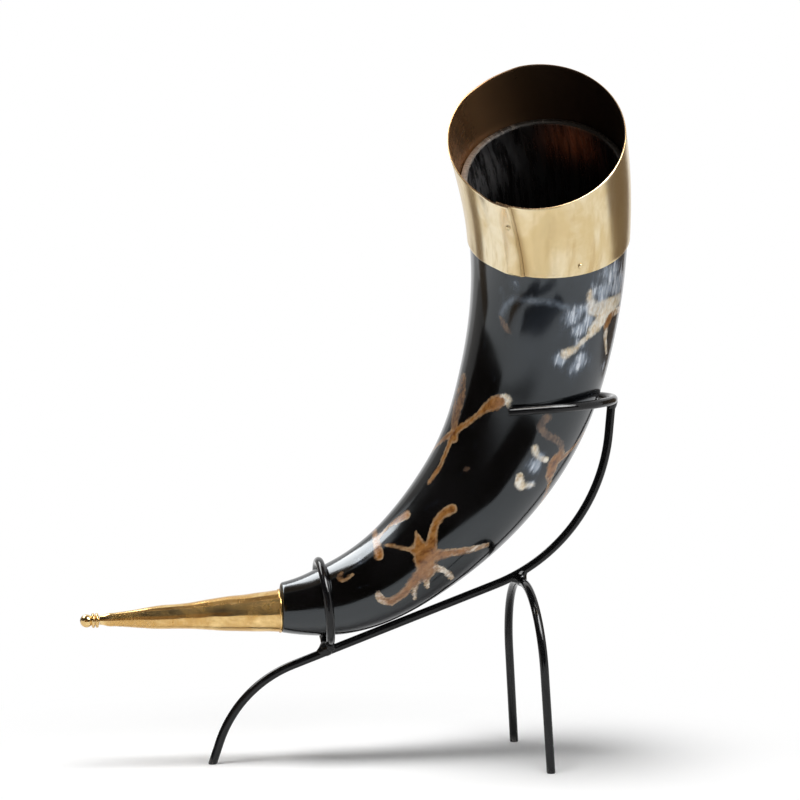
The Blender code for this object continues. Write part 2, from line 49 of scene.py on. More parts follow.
SECTION_AT = (0.000, 0.026, 0.064, 0.110, 0.160, 0.206, 0.240, 0.291)
SECTION_HEADING = (0.5, 16.0, 38.0, 53.0, 73.0, 86.5, 97.0, 110.0)
SECTION_LEAN = (0.0, 0.0, 0.0, 0.0, 3.0, 14.0, 28.0, 35.0)
SECTION_WIDTH = (0.0229, 0.0340, 0.0430, 0.0541, 0.0648, 0.0696, 0.0728, 0.0783)
SECTION_DEPTH = (0.0229, 0.0340, 0.0430, 0.0547, 0.0662, 0.0719, 0.0762, 0.0829)
HORN_TAIL_X = -0.0551
HORN_EDGE_DROP = 0.0230
MOUTH_SLANT = 11.5
MOUTH_WALL = 0.0034
TAIL_WALL = 0.0070
CAVITY_END_AT = 0.062
CAVITY_END_LENGTH = 0.014
TENON_LENGTH = 0.026
TENON_CHAMFER = 0.001
COLLAR_HEIGHT = 0.0557
COLLAR_SHEET = 0.0007
COLLAR_SEAM_ANGLE = 51.0
COLLAR_SEAM_SKEW = 11.0
COLLAR_LAP = 0.0070
COLLAR_LAP_EASE = 0.0100
COLLAR_FILED = 0.0016
TACK_ANGLES = (100.0, 220.0, 340.0)
TACK_UP = 0.0070
TACK_SHANK = 0.0012
TACK_HEAD = 0.0024
TACK_HEAD_HEIGHT = 0.0004
TACK_BITE = 0.0014
RIVET_UP = 0.0061
FERRULE_SLOPE = 1.9
FERRULE_DROP = 0.0018
FERRULE_LENGTH = 0.0831
FERRULE_DIAMETER = 0.0184
FERRULE_WALL = 0.0009
FERRULE_LIP = 0.0004
FERRULE_LIP_LENGTH = 0.0012
NOSE_DIAMETER = 0.0042
NOSE_LENGTH = 0.0065
FERRULE_TACK_UP = 0.0030
FERRULE_TACK_ANGLE = 100.0
BALL_DIAMETER = 0.0060
BEAD_DIAMETER = 0.0068
BEAD_LENGTH = 0.0014
GROOVE_DIAMETER = 0.0044
GROOVE_LENGTH = 0.0003
STEM_LENGTH = 0.0120
ROD_DIAMETER = 0.0040
FRONT_FOOT_X = -0.0870
FRONT_LEG_SLOPE = 71.7
FRONT_BEND_RADIUS = 0.0570
SPINE_HEIGHT = 0.0642
SPINE_SLOPE = 20.8
REAR_BEND_RADIUS = 0.0820
POST_SLOPE = 85.0
LEG_JOIN_X = 0.0550
LEG_SPREAD = 0.0883
LEG_TOP_SPREAD = 0.0833
LEG_BEND_RADIUS = 0.0381
LEG_FOOT_BACK = 0.0050
LEG_SKEW = 1.9
CRADLE_HEIGHT = 0.1647
CRADLE_TILT = 3.5
CRADLE_BACK_GAP = 0.0054
CRADLE_ARM_PAST = 0.0120
RING_AT = 0.0196
RING_TILT = 6.0
RING_TWIST = 0.0019
RING_END_SPREAD = 0.0052
RING_END_BEND = 0.0030

ROD_RADIUS = ROD_DIAMETER / 2
RIM_AT = SECTION_AT[-1]
HORN_EDGE_AT = RIM_AT - HORN_EDGE_DROP
COLLAR_FROM = RIM_AT - COLLAR_HEIGHT
NOSE_FROM = FERRULE_LENGTH - NOSE_LENGTH
FRONT = Vector((0, -1, 0))
UP = Vector((0, 0, 1))
MM = 0.001
CM_PER_METRE = 100

# Fineness of the meshes
CENTRE_LINE_STEPS = 800
CURVE_STEPS = 10
DOME_STEPS = 8
BEAD_STEPS = 12
BALL_STEPS = 28
HORN_SIDES = 256
HORN_ROWS = 240
CAVITY_ROWS = 100
COLLAR_COLUMNS = 360
COLLAR_ROWS = 40
COLLAR_LAP_COLUMNS = 44
FERRULE_SIDES = 96
TURNED_SIDES = 64
TACK_SIDES = 32
ROD_SIDES = 28
ROD_STEP = 0.003
CONE_STEP = 0.001
BORE_STEP = 0.004
ARC_STEP = 2.0
RING_SECTION_STEPS = 40
RING_END_STEPS = 12
RING_FOOT_POINTS = 8
WELD_COLUMNS = 64
WELD_ROWS = 40
WELD_HALVINGS = 24
AXIS_RADIUS = 1e-5  # of the small face that ends a turned piece on its axis
SHARP_EDGE = 50.0

# Fine form that the CAD model leaves out, in metres and degrees
TAIL_ROUND = 0.0006
HORN_UNEVEN = 0.00011
HORN_UNEVEN_LENGTH = 0.030
HORN_WORKED = 0.00003
HORN_WORKED_LENGTH = 0.011
HORN_TRUE_TAIL = 0.012
CARVING = 0.0003
CARVING_LENGTH = 0.020
COLLAR_GRIP = 0.004  # how far below the horn's edge the sheet comes free of it
COLLAR_FLAT = 0.0009
COLLAR_FLAT_ANGLE = 281.0
COLLAR_FLAT_SPREAD = 0.05  # by the cosine of the angle from the flat's middle
COLLAR_DENT = 0.00025
COLLAR_DENT_INWARD = 0.8  # share of a dent by which the free sheet lies inward on the whole
COLLAR_HELD_DENT = 0.00007
COLLAR_DENT_LENGTH = 0.020
LAP_END_SHUT = 0.85  # share of the gap that the lap's filed end closes
LAP_END_FILED = 0.82  # share of the sheet that is filed off there
FERRULE_FLARE = 0.0006
FERRULE_FLARE_RISE = 0.0003
FERRULE_FLARE_LENGTH = 0.045
FERRULE_SWELL = 0.0009
FERRULE_DENT = 0.00026
FERRULE_DENT_LENGTH = 0.011
FERRULE_TAP = 0.00011
FERRULE_TAP_LENGTH = 0.0045
FERRULE_KINK = 0.00012
FERRULE_KINK_AT = 0.052
FERRULE_KINK_LENGTH = 0.006
FERRULE_KINK_TURN = 0.6  # radians
NOSE_SWELL = 0.0010
# Heights between which the ferrule's unevenness and its full nose come in and go out
BODY_RISE = (0.002, 0.010)
BODY_FALL = (NOSE_FROM, 0.060)
NOSE_RISE = (0.040, 0.062)
NOSE_FALL = (FERRULE_LENGTH, FERRULE_LENGTH - 0.005)
BALL_SHAVE = 0.00001  # keeps the ball inside the CAD model's box
ROD_EASE = 0.0005
WELD_CORE = 0.0003
WELD_BLEND = 0.0016
WELD_PROUD = 0.0006
WELD_DIP = 0.0016
WELD_LUMP = 0.00014
WELD_LUMP_RATE = 1.7
WELD_RIPPLE = 0.00001
WELD_RIPPLE_RATE = 5.0
WELD_NEAR = 0.02
WELD_REACH = 0.0046
LEG_WELD_REACH = 0.0058

# Camera, at the photograph's angle
TARGET = CENTRE + Vector((0, 0, 0.1672))
CAMERA_AZIMUTH = -7.3
CAMERA_ELEVATION = 4.2
CAMERA_DISTANCE = 1.7
CAMERA_LENS = 166.3

# Light. Lamps have a place, a size and watts, and either light dull surfaces or only show in gloss.
WHITE = (1, 1, 1)
FILL = 0.10
FLOOR_LIFT = 0.10
FLOOR_SIZE = 3.0
FLOOR_DROP = 0.0001
SHADOW_KEPT = (0.10, 0.25)  # distances from the origin between which the floor fades to white
LAMP_TARGET = Vector((0.05, 0.0, 0.12))
DULL_LAMPS = (
    ("key", (-0.08, -0.21, 1.55), (0.45, 0.7), 21),
    ("front", (0.35, -1.25, 0.60), (0.6, 0.6), 5.5),
)
GLOSS_LAMPS = (
    ("softbox", (-0.73, 0.57, 1.20), (1.2, 0.6), 18),
    ("sheen", (0.55, -0.80, 1.30), (0.5, 1.2), 22),
    ("arm_light", (0.17, -0.25, 0.44), (0.34, 0.30), 2.8),
)

# Dim screens that show only in gloss, as the dim room round a white table does in the photograph
DARK = (0.030, 0.024, 0.020)
GOLDEN = (0.20, 0.105, 0.020)
BROWN = (0.19, 0.145, 0.105)
TAWNY = (0.16, 0.105, 0.055)
DIM = (0.30, 0.285, 0.27)
GREY = (0.58, 0.57, 0.56)
# In front of the object: name, Y, colour and an outline of (X, Z)
FRONT_SCREENS = (
    ("flag_low", -0.12, DARK, (
        (-0.10, 0.050), (-0.10, 0.110), (-0.06, 0.100), (0.0, 0.085), (0.01, 0.060), (0.0, 0.046),
        (-0.02, 0.040), (-0.042, 0.030), (-0.06, 0.036), (-0.08, 0.048),
    )),
    ("flag_near", -0.12, DARK, (
        (-0.02, 0.085), (-0.02, 0.106), (0.03, 0.106), (0.055, 0.10), (0.08, 0.085), (0.075, 0.07),
        (0.045, 0.075),
    )),
    ("flag_middle", -0.16, DARK, (
        (-0.10, 0.082), (-0.10, 0.122), (0.0, 0.129), (0.03, 0.127), (0.062, 0.117), (0.09, 0.104),
        (0.114, 0.092), (0.118, 0.075), (0.10, 0.060), (0.08, 0.052), (0.06, 0.074), (-0.055, 0.074),
    )),
    ("flag_tail", -0.12, GOLDEN, ((-0.24, 0.04), (-0.24, 0.125), (-0.10, 0.105), (-0.10, 0.045))),
    ("flag_front_high", -0.34, DARK, (
        (-0.90, 0.165), (-0.90, 1.50), (-0.05, 1.50), (0.02, 0.45), (0.45, 0.45), (0.45, 0.145),
        (0.10, 0.088), (0.08, 0.076), (-0.02, 0.088), (-0.10, 0.106), (-0.20, 0.128), (-0.34, 0.152),
        (-0.45, 0.165),
    )),
)
# Round the object: name, colour, (X, Y) of one end and of the other, lowest and highest Z
SIDE_SCREENS = (
    ("flag_left", DARK, (-0.90, -0.60), (-0.90, 0.50), 0.115, 0.85),
    ("flag_back", BROWN, (-0.90, 0.38), (-0.14, 0.38), 0, 0.12),
    ("flag_back_left", DIM, (-0.90, 0.50), (-0.66, 0.95), 0, 0.75),
    ("flag_back_middle", GREY, (-0.66, 0.95), (-0.36, 1.05), 0, 0.75),
    ("flag_right", BROWN, (0.62, 0.05), (0.62, 0.75), 0, 0.50),
)
TOP_SCREEN = ((-1.2, -0.34, 1.6), (0.6, -0.34, 1.6), (0.6, 0.6, 1.6), (-1.2, 0.6, 1.6))

# Patches inside the mouth: degrees round, their spread, depth below the horn's edge and its spread in metres
RED_PATCH = (230, 20, 0.007, 0.007)
# Painted sheen, a grey reflection on the inside at the left
INSIDE_SHEEN_PATCH = (325, 30, 0.012, 0.011)
# Places round the mouth: degrees round and their spread
# Lit side of the pale cut edge; elsewhere the edge is painted dark as shade
LIT_PALE_EDGE = (335, 55)
# Lining painted lit here; elsewhere it is painted shade
LIT_LINING = (340, 62)
# Painted highlight: paler brass on the collar beside the seam
BRASS_HIGHLIGHT = (38, 16)
# Painted reflection, a bluish lift on the front under the collar: degrees round where it rises and falls, and
# the depth over which it ends
PAINTED_REFLECTION_RISE = (52, 76)
PAINTED_REFLECTION_FALL = (250, 190)
PAINTED_REFLECTION_END = (0.120, 0.072)
# Half width of the stain along the collar's lap, in metres, at the rim and added at the foot
LAP_STAIN = 0.0012
LAP_STAIN_GAIN = 0.0016
WORN_FOOT = (0.004, 0.0005)  # heights between which the stand's paint comes off

# Splashes on the front. Each arm has a tone, from 0 cream over 1 tan to 2 dull brown, and a run of (mm along
# the horn, degrees round it, half width in mm).
STAR = (
    (1.0, ((66.5, 107, 3.6), (69, 92, 4.6), (71, 78, 3.4))),
    (1.0, ((74, 88, 3.0), (80, 76, 2.0), (86, 69.5, 1.9), (91, 70, 2.1), (94.5, 73, 2.4))),
    (1.0, ((71, 78, 3.0), (73.5, 67, 1.3), (75, 60, 0.3))),
    (0.9, ((69, 78, 1.8), (65, 66, 0.9), (61, 52, 0.7), (59.5, 47, 0.9))),
    (1.0, ((65, 103, 3.2), (58, 108, 2.2), (51.5, 115, 2.0), (46.5, 116, 2.1))),
    (0.7, ((46.5, 116, 2.0), (43.5, 107, 1.9), (43, 99, 1.6))),
    (0.6, ((61, 108, 1.7), (57.5, 118, 1.0), (55.5, 132, 0.9))),
    (0.6, ((64.5, 112, 1.8), (62.5, 126, 1.0))),
    (0.6, ((70, 108, 2.0), (72.5, 121, 1.3), (73, 140, 1.2))),
    (1.0, ((73, 95, 2.8), (80, 107, 1.9), (84, 115, 1.7))),
    (0.7, ((84, 115, 1.7), (88, 123, 1.6), (93, 133, 1.4))),
)
TAIL_SPLASH = (
    (0.9, ((77, 35.5, 2.1), (72.5, 31, 1.9), (67.5, 26, 1.1), (61, 26, 1.0), (56, 28.5, 1.6))),
    (0.8, ((56, 29, 1.7), (54.5, 42, 1.9), (53, 52, 2.2))),
    (1.35, ((36, 56, 0.8), (31, 58, 0.8), (28.8, 50, 0.7), (31, 45, 0.7))),
    (0.9, ((57, 23, 1.3), (59, 2, 1.3), (56, -14, 1.6))),
)
HOLLOW_SPLASH = (
    (0.95, ((154, 62, 2.8), (152, 58, 3.2), (148, 52, 2.2), (141, 45, 1.2))),
    (0.1, ((157, 63, 1.1), (156.5, 67.5, 1.3), (153.5, 68.5, 1.0))),
    (0.9, ((141, 45, 1.4), (134, 37, 1.5), (127, 28, 2.2), (124, 32, 2.0))),
    (1.0, ((124, 27, 2.0), (115, 29, 1.5), (105.5, 32, 1.4), (97.5, 31.5, 1.2))),
    (1.45, ((129, 24, 2.2), (138, 18, 4.2), (147, 15, 5.6), (156, 13, 4.0))),
    (0.9, ((126, 24, 1.9), (117, 8, 1.3), (112, -4, 1.7))),
    (1.9, ((113.5, 60, 0.8), (115, 62, 0.7))),
)
BELLY_SPLASH = (
    (1.6, ((154, 103.5, 1.9), (149.5, 101, 1.8), (146.5, 109, 1.7), (145.5, 125, 1.7), (141, 136, 1.8))),
    (1.15, ((141, 134, 2.4), (137, 132, 3.4), (132, 137, 3.2))),
    (0.1, ((139, 105, 1.5), (136, 112, 1.2), (136.5, 122, 1.3))),
    (0.4, ((121.5, 115, 1.8), (122.5, 110, 2.3), (125, 106.5, 1.5))),
    (0.1, ((124.5, 124, 1.2), (122, 116, 1.3))),
    (1.1, ((133, 134, 1.9), (126, 150, 1.4), (120, 164, 1.8))),
    (1.1, ((138, 136, 1.8), (146, 151, 1.3), (152, 161, 1.7))),
)
UPPER_SPLASH = (
    (1.0, ((201, 137, 2.4), (205, 140, 2.6))),
    (0.0, ((211, 150, 3.4), (210, 133, 4.4), (210.5, 118, 3.2))),
    (0.1, ((208, 132, 4.0), (203, 127, 3.6), (200, 121, 2.4))),
    (0.1, ((212, 117, 2.4), (217, 114, 1.8), (222, 113, 1.1))),
    (0.2, ((201, 127, 2.2), (195, 116.5, 1.3), (189.5, 109, 1.3), (186, 102, 2.2))),
    (0.5, ((198, 138, 1.6), (193, 140.5, 1.2), (187, 148, 0.9))),
    (0.6, ((206, 142, 2.2), (205, 160, 1.6), (200, 174, 1.8))),
    (1.6, ((200.5, 46, 0.8), (196, 51, 1.3), (193, 55.5, 0.9))),
)
# Splashes where the photograph doesn't reach: mm along, degrees round, size in mm, arms
BACK_SPLASHES = (
    (62, 238, 11, 7), (90, 300, 11, 6), (104, 208, 12, 7), (138, 262, 15, 8),
    (166, 326, 13, 7), (172, 205, 12, 6), (196, 262, 15, 7), (216, 330, 13, 6), (214, 212, 12, 7),
)
# Pale smears along the grain, partly real scuffs and partly painted reflection, the two near the tail a
# painted highlight: mm along, degrees round, reach in mm, strength
SMEARS_AND_SHEEN = (
    (206, 102, 6, 1.0), (210, 106, 5, 0.9), (200, 109, 6, 1.0), (211, 116, 6, 1.0), (204, 115, 6, 0.9),
    (184, 118, 6, 0.9), (180, 112, 5, 0.8), (183, 99, 4, 0.9), (193, 112, 6, 0.8), (181, 149, 4, 0.8),
    (221, 126, 10, 0.9), (228, 133, 10, 0.9), (219, 146, 10, 1.0), (214, 126, 6, 0.9), (202, 62, 5, 0.35),
    (132, 114, 5, 1.0), (124, 122, 3, 0.9), (136, 115, 3, 1.0), (50, 34, 4, 0.5), (43, 38, 4, 0.5),
    (228, 52, 6, 0.40), (216, 48, 5, 0.35),
    (104, 216, 6, 0.7), (140, 250, 7, 0.7), (197, 250, 8, 0.8), (208, 322, 8, 0.7), (66, 246, 5, 0.5),
    (222, 200, 12, 0.8), (228, 280, 10, 0.6),
)
# Thin pale line across the grain, of (mm along, degrees round), and its reach in mm
PALE_LINE = ((203, 47), (210, 50), (215, 56), (216, 64), (216, 74), (216, 84), (213.5, 93), (211, 102))
LINE_REACH = 1.5
BACK_SEED = 40
SPLASH_REACH = 8.0  # mm, past which a splash's distance isn't told
SPLASH_MARGIN = 0.012  # metres, past an arm's middle line, that hold all of its reach
NEXT_TO_NOTHING = 1e-9  # keeps the tone defined where no splash reaches
TONE_BLEND = 0.8  # mm, over which arms of unlike tones run together


# Forms shared with the CAD model

def direction(slope):
    """Unit vector in the XZ plane, slope degrees up from +X."""
    return Vector((math.cos(math.radians(slope)), 0, math.sin(math.radians(slope))))


def through_sections(values, along):
    """Monotone cubic through the values at the horn's sections."""
    at = np.array(SECTION_AT)
    values = np.array(values)
    gap = np.diff(at)
    rise = np.diff(values) / gap
    slope = np.concatenate([rise[:1], np.zeros(len(at) - 2), rise[-1:]])
    for i in range(1, len(at) - 1):
        if rise[i - 1] * rise[i] > 0:
            before = 2 * gap[i] + gap[i - 1]
            after = gap[i] + 2 * gap[i - 1]
            slope[i] = (before + after) / (before / rise[i - 1] + after / rise[i])
    i = np.clip(np.searchsorted(at, along, side="right") - 1, 0, len(at) - 2)
    t = (along - at[i]) / gap[i]
    start = (1 + 2 * t) * (1 - t) ** 2 * values[i] + t * (1 - t) ** 2 * gap[i] * slope[i]
    end = t**2 * (3 - 2 * t) * values[i + 1] + t**2 * (t - 1) * gap[i] * slope[i + 1]
    return start + end


class HornForm:
    """The horn's outer surface, by distance along its centre line and angle round the section."""

    def __init__(self):
        self.along = np.linspace(0, RIM_AT, CENTRE_LINE_STEPS)
        tangent, inward, _ = self.vectors(self.along)
        step = np.diff(self.along)[:, None] * (tangent[1:] + tangent[:-1]) / 2
        line = np.concatenate([np.zeros((1, 3)), np.cumsum(step, axis=0)]) + (HORN_TAIL_X, 0, 0)
        underside = line - inward * self.half_width(self.along)[:, None]
        self.line = line + (0, 0, self.seat_height(underside))

    def seat_height(self, underside):
        normal = np.array(direction(SPINE_SLOPE + 90))
        clearance = ((underside - (0, 0, SPINE_HEIGHT)) @ normal).min()
        return (ROD_RADIUS + SEAT_GAP - clearance) / normal[2]

    def half_width(self, along):
        return through_sections(SECTION_WIDTH, along) / 2

    def half_depth(self, along):
        return through_sections(SECTION_DEPTH, along) / 2

    def vectors(self, along):
        """Tangent, vector to the concave side and vector to the front, of each section."""
        heading = np.radians(through_sections(SECTION_HEADING, along))
        lean = np.radians(through_sections(SECTION_LEAN, along))
        level = np.cos(lean)
        tangent = np.stack([np.cos(heading) * level, -np.sin(lean), np.sin(heading) * level], -1)
        inward = np.stack([-np.sin(heading), 0 * heading, np.cos(heading)], -1)
        return tangent, inward, np.cross(tangent, inward)

    def centre(self, along):
        return np.stack([np.interp(along, self.along, self.line[:, i]) for i in range(3)], -1)

    def points(self, along, angle, offset=0.0, scale=1.0):
        """Surface points at distances and angles (radians), moved out by an offset and scaled."""
        along, angle = np.broadcast_arrays(np.asarray(along, float), angle)
        tangent, inward, front = self.vectors(along)
        across = (self.half_width(along) + offset) * scale * np.cos(angle)
        forward = (self.half_depth(along) + offset) * scale * np.sin(angle)
        on_collar = np.clip((along - COLLAR_FROM) / COLLAR_HEIGHT, 0, 1)
        shift = -math.tan(math.radians(MOUTH_SLANT)) * on_collar * forward
        out = across[:, None] * inward + forward[:, None] * front + shift[:, None] * tangent
        return self.centre(along) + out

    def radius(self, along):
        return (self.half_width(along) + self.half_depth(along)) / 2

    def straight(self, along, angle):
        return unrolled(along, self.radius(along), angle)

    def surface(self, along, angle, offset):
        """One surface point and its outward normal."""
        reach = 0.001
        beside = self.points([along, along], [angle - reach, angle + reach], offset)
        ahead = self.points([along - reach, along + reach], [angle, angle], offset)
        normal = Vector(np.cross(beside[1] - beside[0], ahead[1] - ahead[0])).normalized()
        return Vector(self.points([along], [angle], offset)[0]), normal

    def crossing(self, angle, point, normal):
        """Where the surface line at an angle passes through a plane."""
        line = self.points(self.along, angle)
        height = (line - np.array(point)) @ np.array(normal)
        at = np.interp(0, height, self.along)
        return Vector(self.points([at], [angle])[0])


def ferrule_axis_point(horn, height):
    base = Vector(horn.centre(0.0)) - direction(FERRULE_SLOPE + 90) * FERRULE_DROP
    return base - direction(FERRULE_SLOPE) * (SEAT_GAP + height)


def ferrule_radius(height):
    t = np.clip(height / NOSE_FROM, 0, 1)
    return (FERRULE_DIAMETER + (NOSE_DIAMETER - FERRULE_DIAMETER) * t) / 2


def horn_wall(along):
    return np.interp(along, (CAVITY_END_AT, HORN_EDGE_AT), (TAIL_WALL, MOUTH_WALL))


def collar_angle(length):
    return length / (SECTION_WIDTH[-1] / 2)


def seam_angle(along):
    t = (RIM_AT - along) / COLLAR_HEIGHT
    return np.radians(COLLAR_SEAM_ANGLE + COLLAR_SEAM_SKEW * t)


def bent_path(corners, radii):
    """Straight runs between corner points, with an arc of the given radius at each inner corner."""
    path = [corners[0]]
    for before, corner, after, radius in zip(corners, corners[1:], corners[2:], radii):
        back = (before - corner).normalized()
        ahead = (after - corner).normalized()
        bend = math.pi - back.angle(ahead)
        centre = corner + (back + ahead).normalized() * radius / math.cos(bend / 2)
        start = corner + back * radius * math.tan(bend / 2) - centre
        axis = back.cross(ahead)
        steps = max(2, math.ceil(math.degrees(bend) / ARC_STEP))
        for i in range(steps + 1):
            path.append(centre + Matrix.Rotation(-bend * i / steps, 3, axis) @ start)
    return path + [corners[-1]]


def meet(point, slope, other_point, other_slope):
    """Crossing of two lines in the XZ plane."""
    along, other = direction(slope), direction(other_slope)
    between = other_point - point
    return point + along * (between.cross(other).y / along.cross(other).y)


class StandForm:
    """Paths of the stand's rods, round a horn."""

    def __init__(self, horn):
        self.horn = horn
        self.place_cradle()
        self.place_spine()
        self.place_legs()
        self.place_ring()

    def place_cradle(self):
        horn = self.horn
        at = np.interp(CRADLE_HEIGHT, horn.line[:, 2], horn.along)
        centre = Vector(horn.centre(at))
        back, normal = direction(CRADLE_TILT), direction(CRADLE_TILT + 90)
        near, behind, far = [horn.crossing(math.pi * turn, centre, normal) for turn in (0.5, 1.0, 1.5)]
        centre.y = (near.y + far.y) / 2
        reach = (behind - centre).dot(back) + CRADLE_BACK_GAP + ROD_RADIUS
        radius = (far.y - near.y) / 2 + SEAT_GAP + ROD_RADIUS
        middle = centre + back * (reach - radius)
        steps = math.ceil(180 / ARC_STEP)
        turns = [math.pi * i / steps for i in range(steps + 1)]
        bend = [middle + (back * math.sin(t) + FRONT * math.cos(t)) * radius for t in turns]
        arm_end = centre - back * CRADLE_ARM_PAST
        self.cradle = [arm_end + FRONT * radius] + bend + [arm_end - FRONT * radius]
        self.cradle_back = centre + back * reach

    def place_spine(self):
        post = direction(POST_SLOPE)
        top = self.cradle_back - post * (ROD_RADIUS + SEAT_GAP)
        top.y = 0
        on_straight = Vector((0, 0, SPINE_HEIGHT))
        foot = Vector((FRONT_FOOT_X, 0, 0))
        front = meet(foot, FRONT_LEG_SLOPE, on_straight, SPINE_SLOPE)
        rear = meet(on_straight, SPINE_SLOPE, top, POST_SLOPE)
        self.spine = bent_path([foot, front, rear, top], [FRONT_BEND_RADIUS, REAR_BEND_RADIUS])
        self.spine_top = top

    def spine_at(self, x):
        """Point of the spine over an X, and its direction there."""
        for one, other in zip(self.spine, self.spine[1:]):
            if one.x <= x <= other.x:
                return one.lerp(other, (x - one.x) / (other.x - one.x)), (other - one).normalized()

    def place_legs(self):
        on_spine, along = self.spine_at(LEG_JOIN_X)
        below = along.cross(FRONT)
        below *= -math.copysign(1, below.z)
        top = on_spine + below * (ROD_DIAMETER + SEAT_GAP)
        foot = Vector((top.x + LEG_FOOT_BACK, 0, 0))
        across = Matrix.Rotation(math.radians(LEG_SKEW), 3, UP) @ FRONT
        (near_toe, near_knee), (far_toe, far_knee) = [
            (foot + side * LEG_SPREAD / 2, top + side * LEG_TOP_SPREAD / 2) for side in (across, -across)
        ]
        bends = [LEG_BEND_RADIUS, LEG_BEND_RADIUS]
        self.legs = bent_path([near_toe, near_knee, far_knee, far_toe], bends)
        self.leg_joint = on_spine.lerp(top, 0.5)

    def place_ring(self):
        horn = self.horn
        across, up = direction(RING_TILT), direction(RING_TILT + 90)
        angles = full_turn(RING_SECTION_STEPS)
        section = [horn.crossing(angle, horn.centre(RING_AT), across) for angle in angles]
        middle = sum(section, Vector()) / RING_SECTION_STEPS
        taper = np.gradient(horn.half_width(horn.along), horn.along).max()
        clear = (ROD_RADIUS + SEAT_GAP) * math.hypot(1, taper) + taper * RING_TWIST / 2
        radius = max((point - middle).length for point in section) + clear
        end = RING_END_SPREAD / 2
        turn_out = end + RING_END_BEND
        turn_height = -math.sqrt((radius + RING_END_BEND) ** 2 - turn_out**2)
        leave = math.atan2(turn_height, turn_out)
        foot, _ = self.spine_at(middle.x)
        foot_height = min((foot - middle).dot(up) + ROD_RADIUS / 2, turn_height - SEAT_GAP)
        steps = math.ceil(360 / ARC_STEP)
        half = [(end, foot_height)]
        for i in range(RING_END_STEPS + 1):
            t = math.pi + leave * i / RING_END_STEPS
            half.append((turn_out + RING_END_BEND * math.cos(t), turn_height + RING_END_BEND * math.sin(t)))
        hoop = [leave + (math.pi - 2 * leave) * i / steps for i in range(1, steps)]
        outline = half + [(radius * math.cos(t), radius * math.sin(t)) for t in hoop]
        outline += [(-side, height) for side, height in reversed(half)]
        self.ring = []
        for i, (side, height) in enumerate(outline):
            step = RING_TWIST * (0.5 - i / (len(outline) - 1))
            self.ring.append(middle + FRONT * side + up * height + across * step)
        self.ring_joint = foot + UP * ROD_RADIUS


# Meshes

def full_turn(steps):
    """Even angles round a circle."""
    return np.linspace(0, 2 * math.pi, steps, endpoint=False)


def unrolled(along, radius, angle):
    """Places on a round piece as if it were straight, in cm, for patterns that follow its length."""
    axes = np.broadcast_arrays(along, radius * np.cos(angle), radius * np.sin(angle))
    return np.stack(axes, -1) * CM_PER_METRE


def quads(rows, columns):
    """Faces of rows of points that each close on themselves."""
    i = np.arange(rows - 1)[:, None] * columns
    j = np.arange(columns)[None]
    k = (j + 1) % columns
    return np.stack([i + j, i + k, i + columns + k, i + columns + j], -1).reshape(-1, 4).tolist()


def capped(rows, columns):
    """The same, with a face over the first row and one over the last."""
    last = (rows - 1) * columns
    return quads(rows, columns) + [range(columns)[::-1], range(last, last + columns)]


def signed_volume(points, faces):
    total = 0.0
    for face in faces:
        corners = points[face]
        fan = np.cross(corners[1:-1] - corners[0], corners[2:] - corners[0])
        total += (fan * corners[0]).sum()
    return total


def link(name, data):
    """New object in the scene that holds some data."""
    made = bpy.data.objects.new(name, data)
    bpy.context.collection.objects.link(made)
    return made


def add_piece(name, node, points, faces, finishes, values, face_finish=None):
    """Closed smooth mesh in the row frame that stands for a CAD node and rides on its body."""
    faces = [list(face) for face in faces]
    if signed_volume(points, faces) < 0:
        faces = [face[::-1] for face in faces]
    mesh = bpy.data.meshes.new(name)
    mesh.from_pydata((points + np.array(CENTRE)).tolist(), [], faces)
    mesh.shade_smooth()
    for finish in finishes:
        mesh.materials.append(finish)
    if face_finish is not None:
        mesh.polygons.foreach_set("material_index", face_finish)
    for key, value in values.items():
        kind, field = ("FLOAT", "value") if value.ndim == 1 else ("FLOAT_VECTOR", "vector")
        layer = mesh.attributes.new(key, kind, "POINT")
        layer.data.foreach_set(field, value.astype(np.float32).ravel())
    mesh.update()
    piece = link(name, mesh)
    record = frame["record"]
    body = next(b for b, nodes in record["behaviour"]["bodies"].items() if node in nodes)
    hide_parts(node)
    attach(piece, body)
    return piece


def waves(u, v, seed, count=6):
    """Smooth unevenness between -1 and 1 over two coordinates, v going round in radians."""
    draw = np.random.default_rng(seed)
    total = np.zeros(np.broadcast(u, v).shape)
    for _ in range(count):
        rate = draw.uniform(1.0, 3.0)
        turns = draw.integers(1, 5)
        total += np.sin(rate * u + turns * v * draw.choice((-1, 1)) + draw.uniform(0, 2 * math.pi))
    return total / count


def smooth(low, high, value):
    t = np.clip((value - low) / (high - low), 0, 1)
    return t * t * (3 - 2 * t)


def bell(value, middle, spread):
    """1 at the middle, falling off to both sides."""
    return np.exp(-((value - middle) / spread) ** 2)


def toward(angle, degrees, spread):
    """1 at an angle round the horn, falling off over a spread in degrees."""
    return bell((np.degrees(angle) - degrees + 180) % 360, 180, spread)


# Horn

def run_through(controls):
    """Even curve through control points."""
    points = np.array(controls, float)
    padded = np.concatenate([2 * points[:1] - points[1:2], points, 2 * points[-1:] - points[-2:-1]])
    out = []
    for a, b, c, d in zip(padded, padded[1:], padded[2:], padded[3:]):
        for t in np.linspace(0, 1, CURVE_STEPS, endpoint=False):
            square = (2 * a - 5 * b + 4 * c - d) * t**2
            cube = (3 * b - a - 3 * c + d) * t**3
            out.append(0.5 * (2 * b + (c - a) * t + square + cube))
    return np.array(out + [points[-1]])


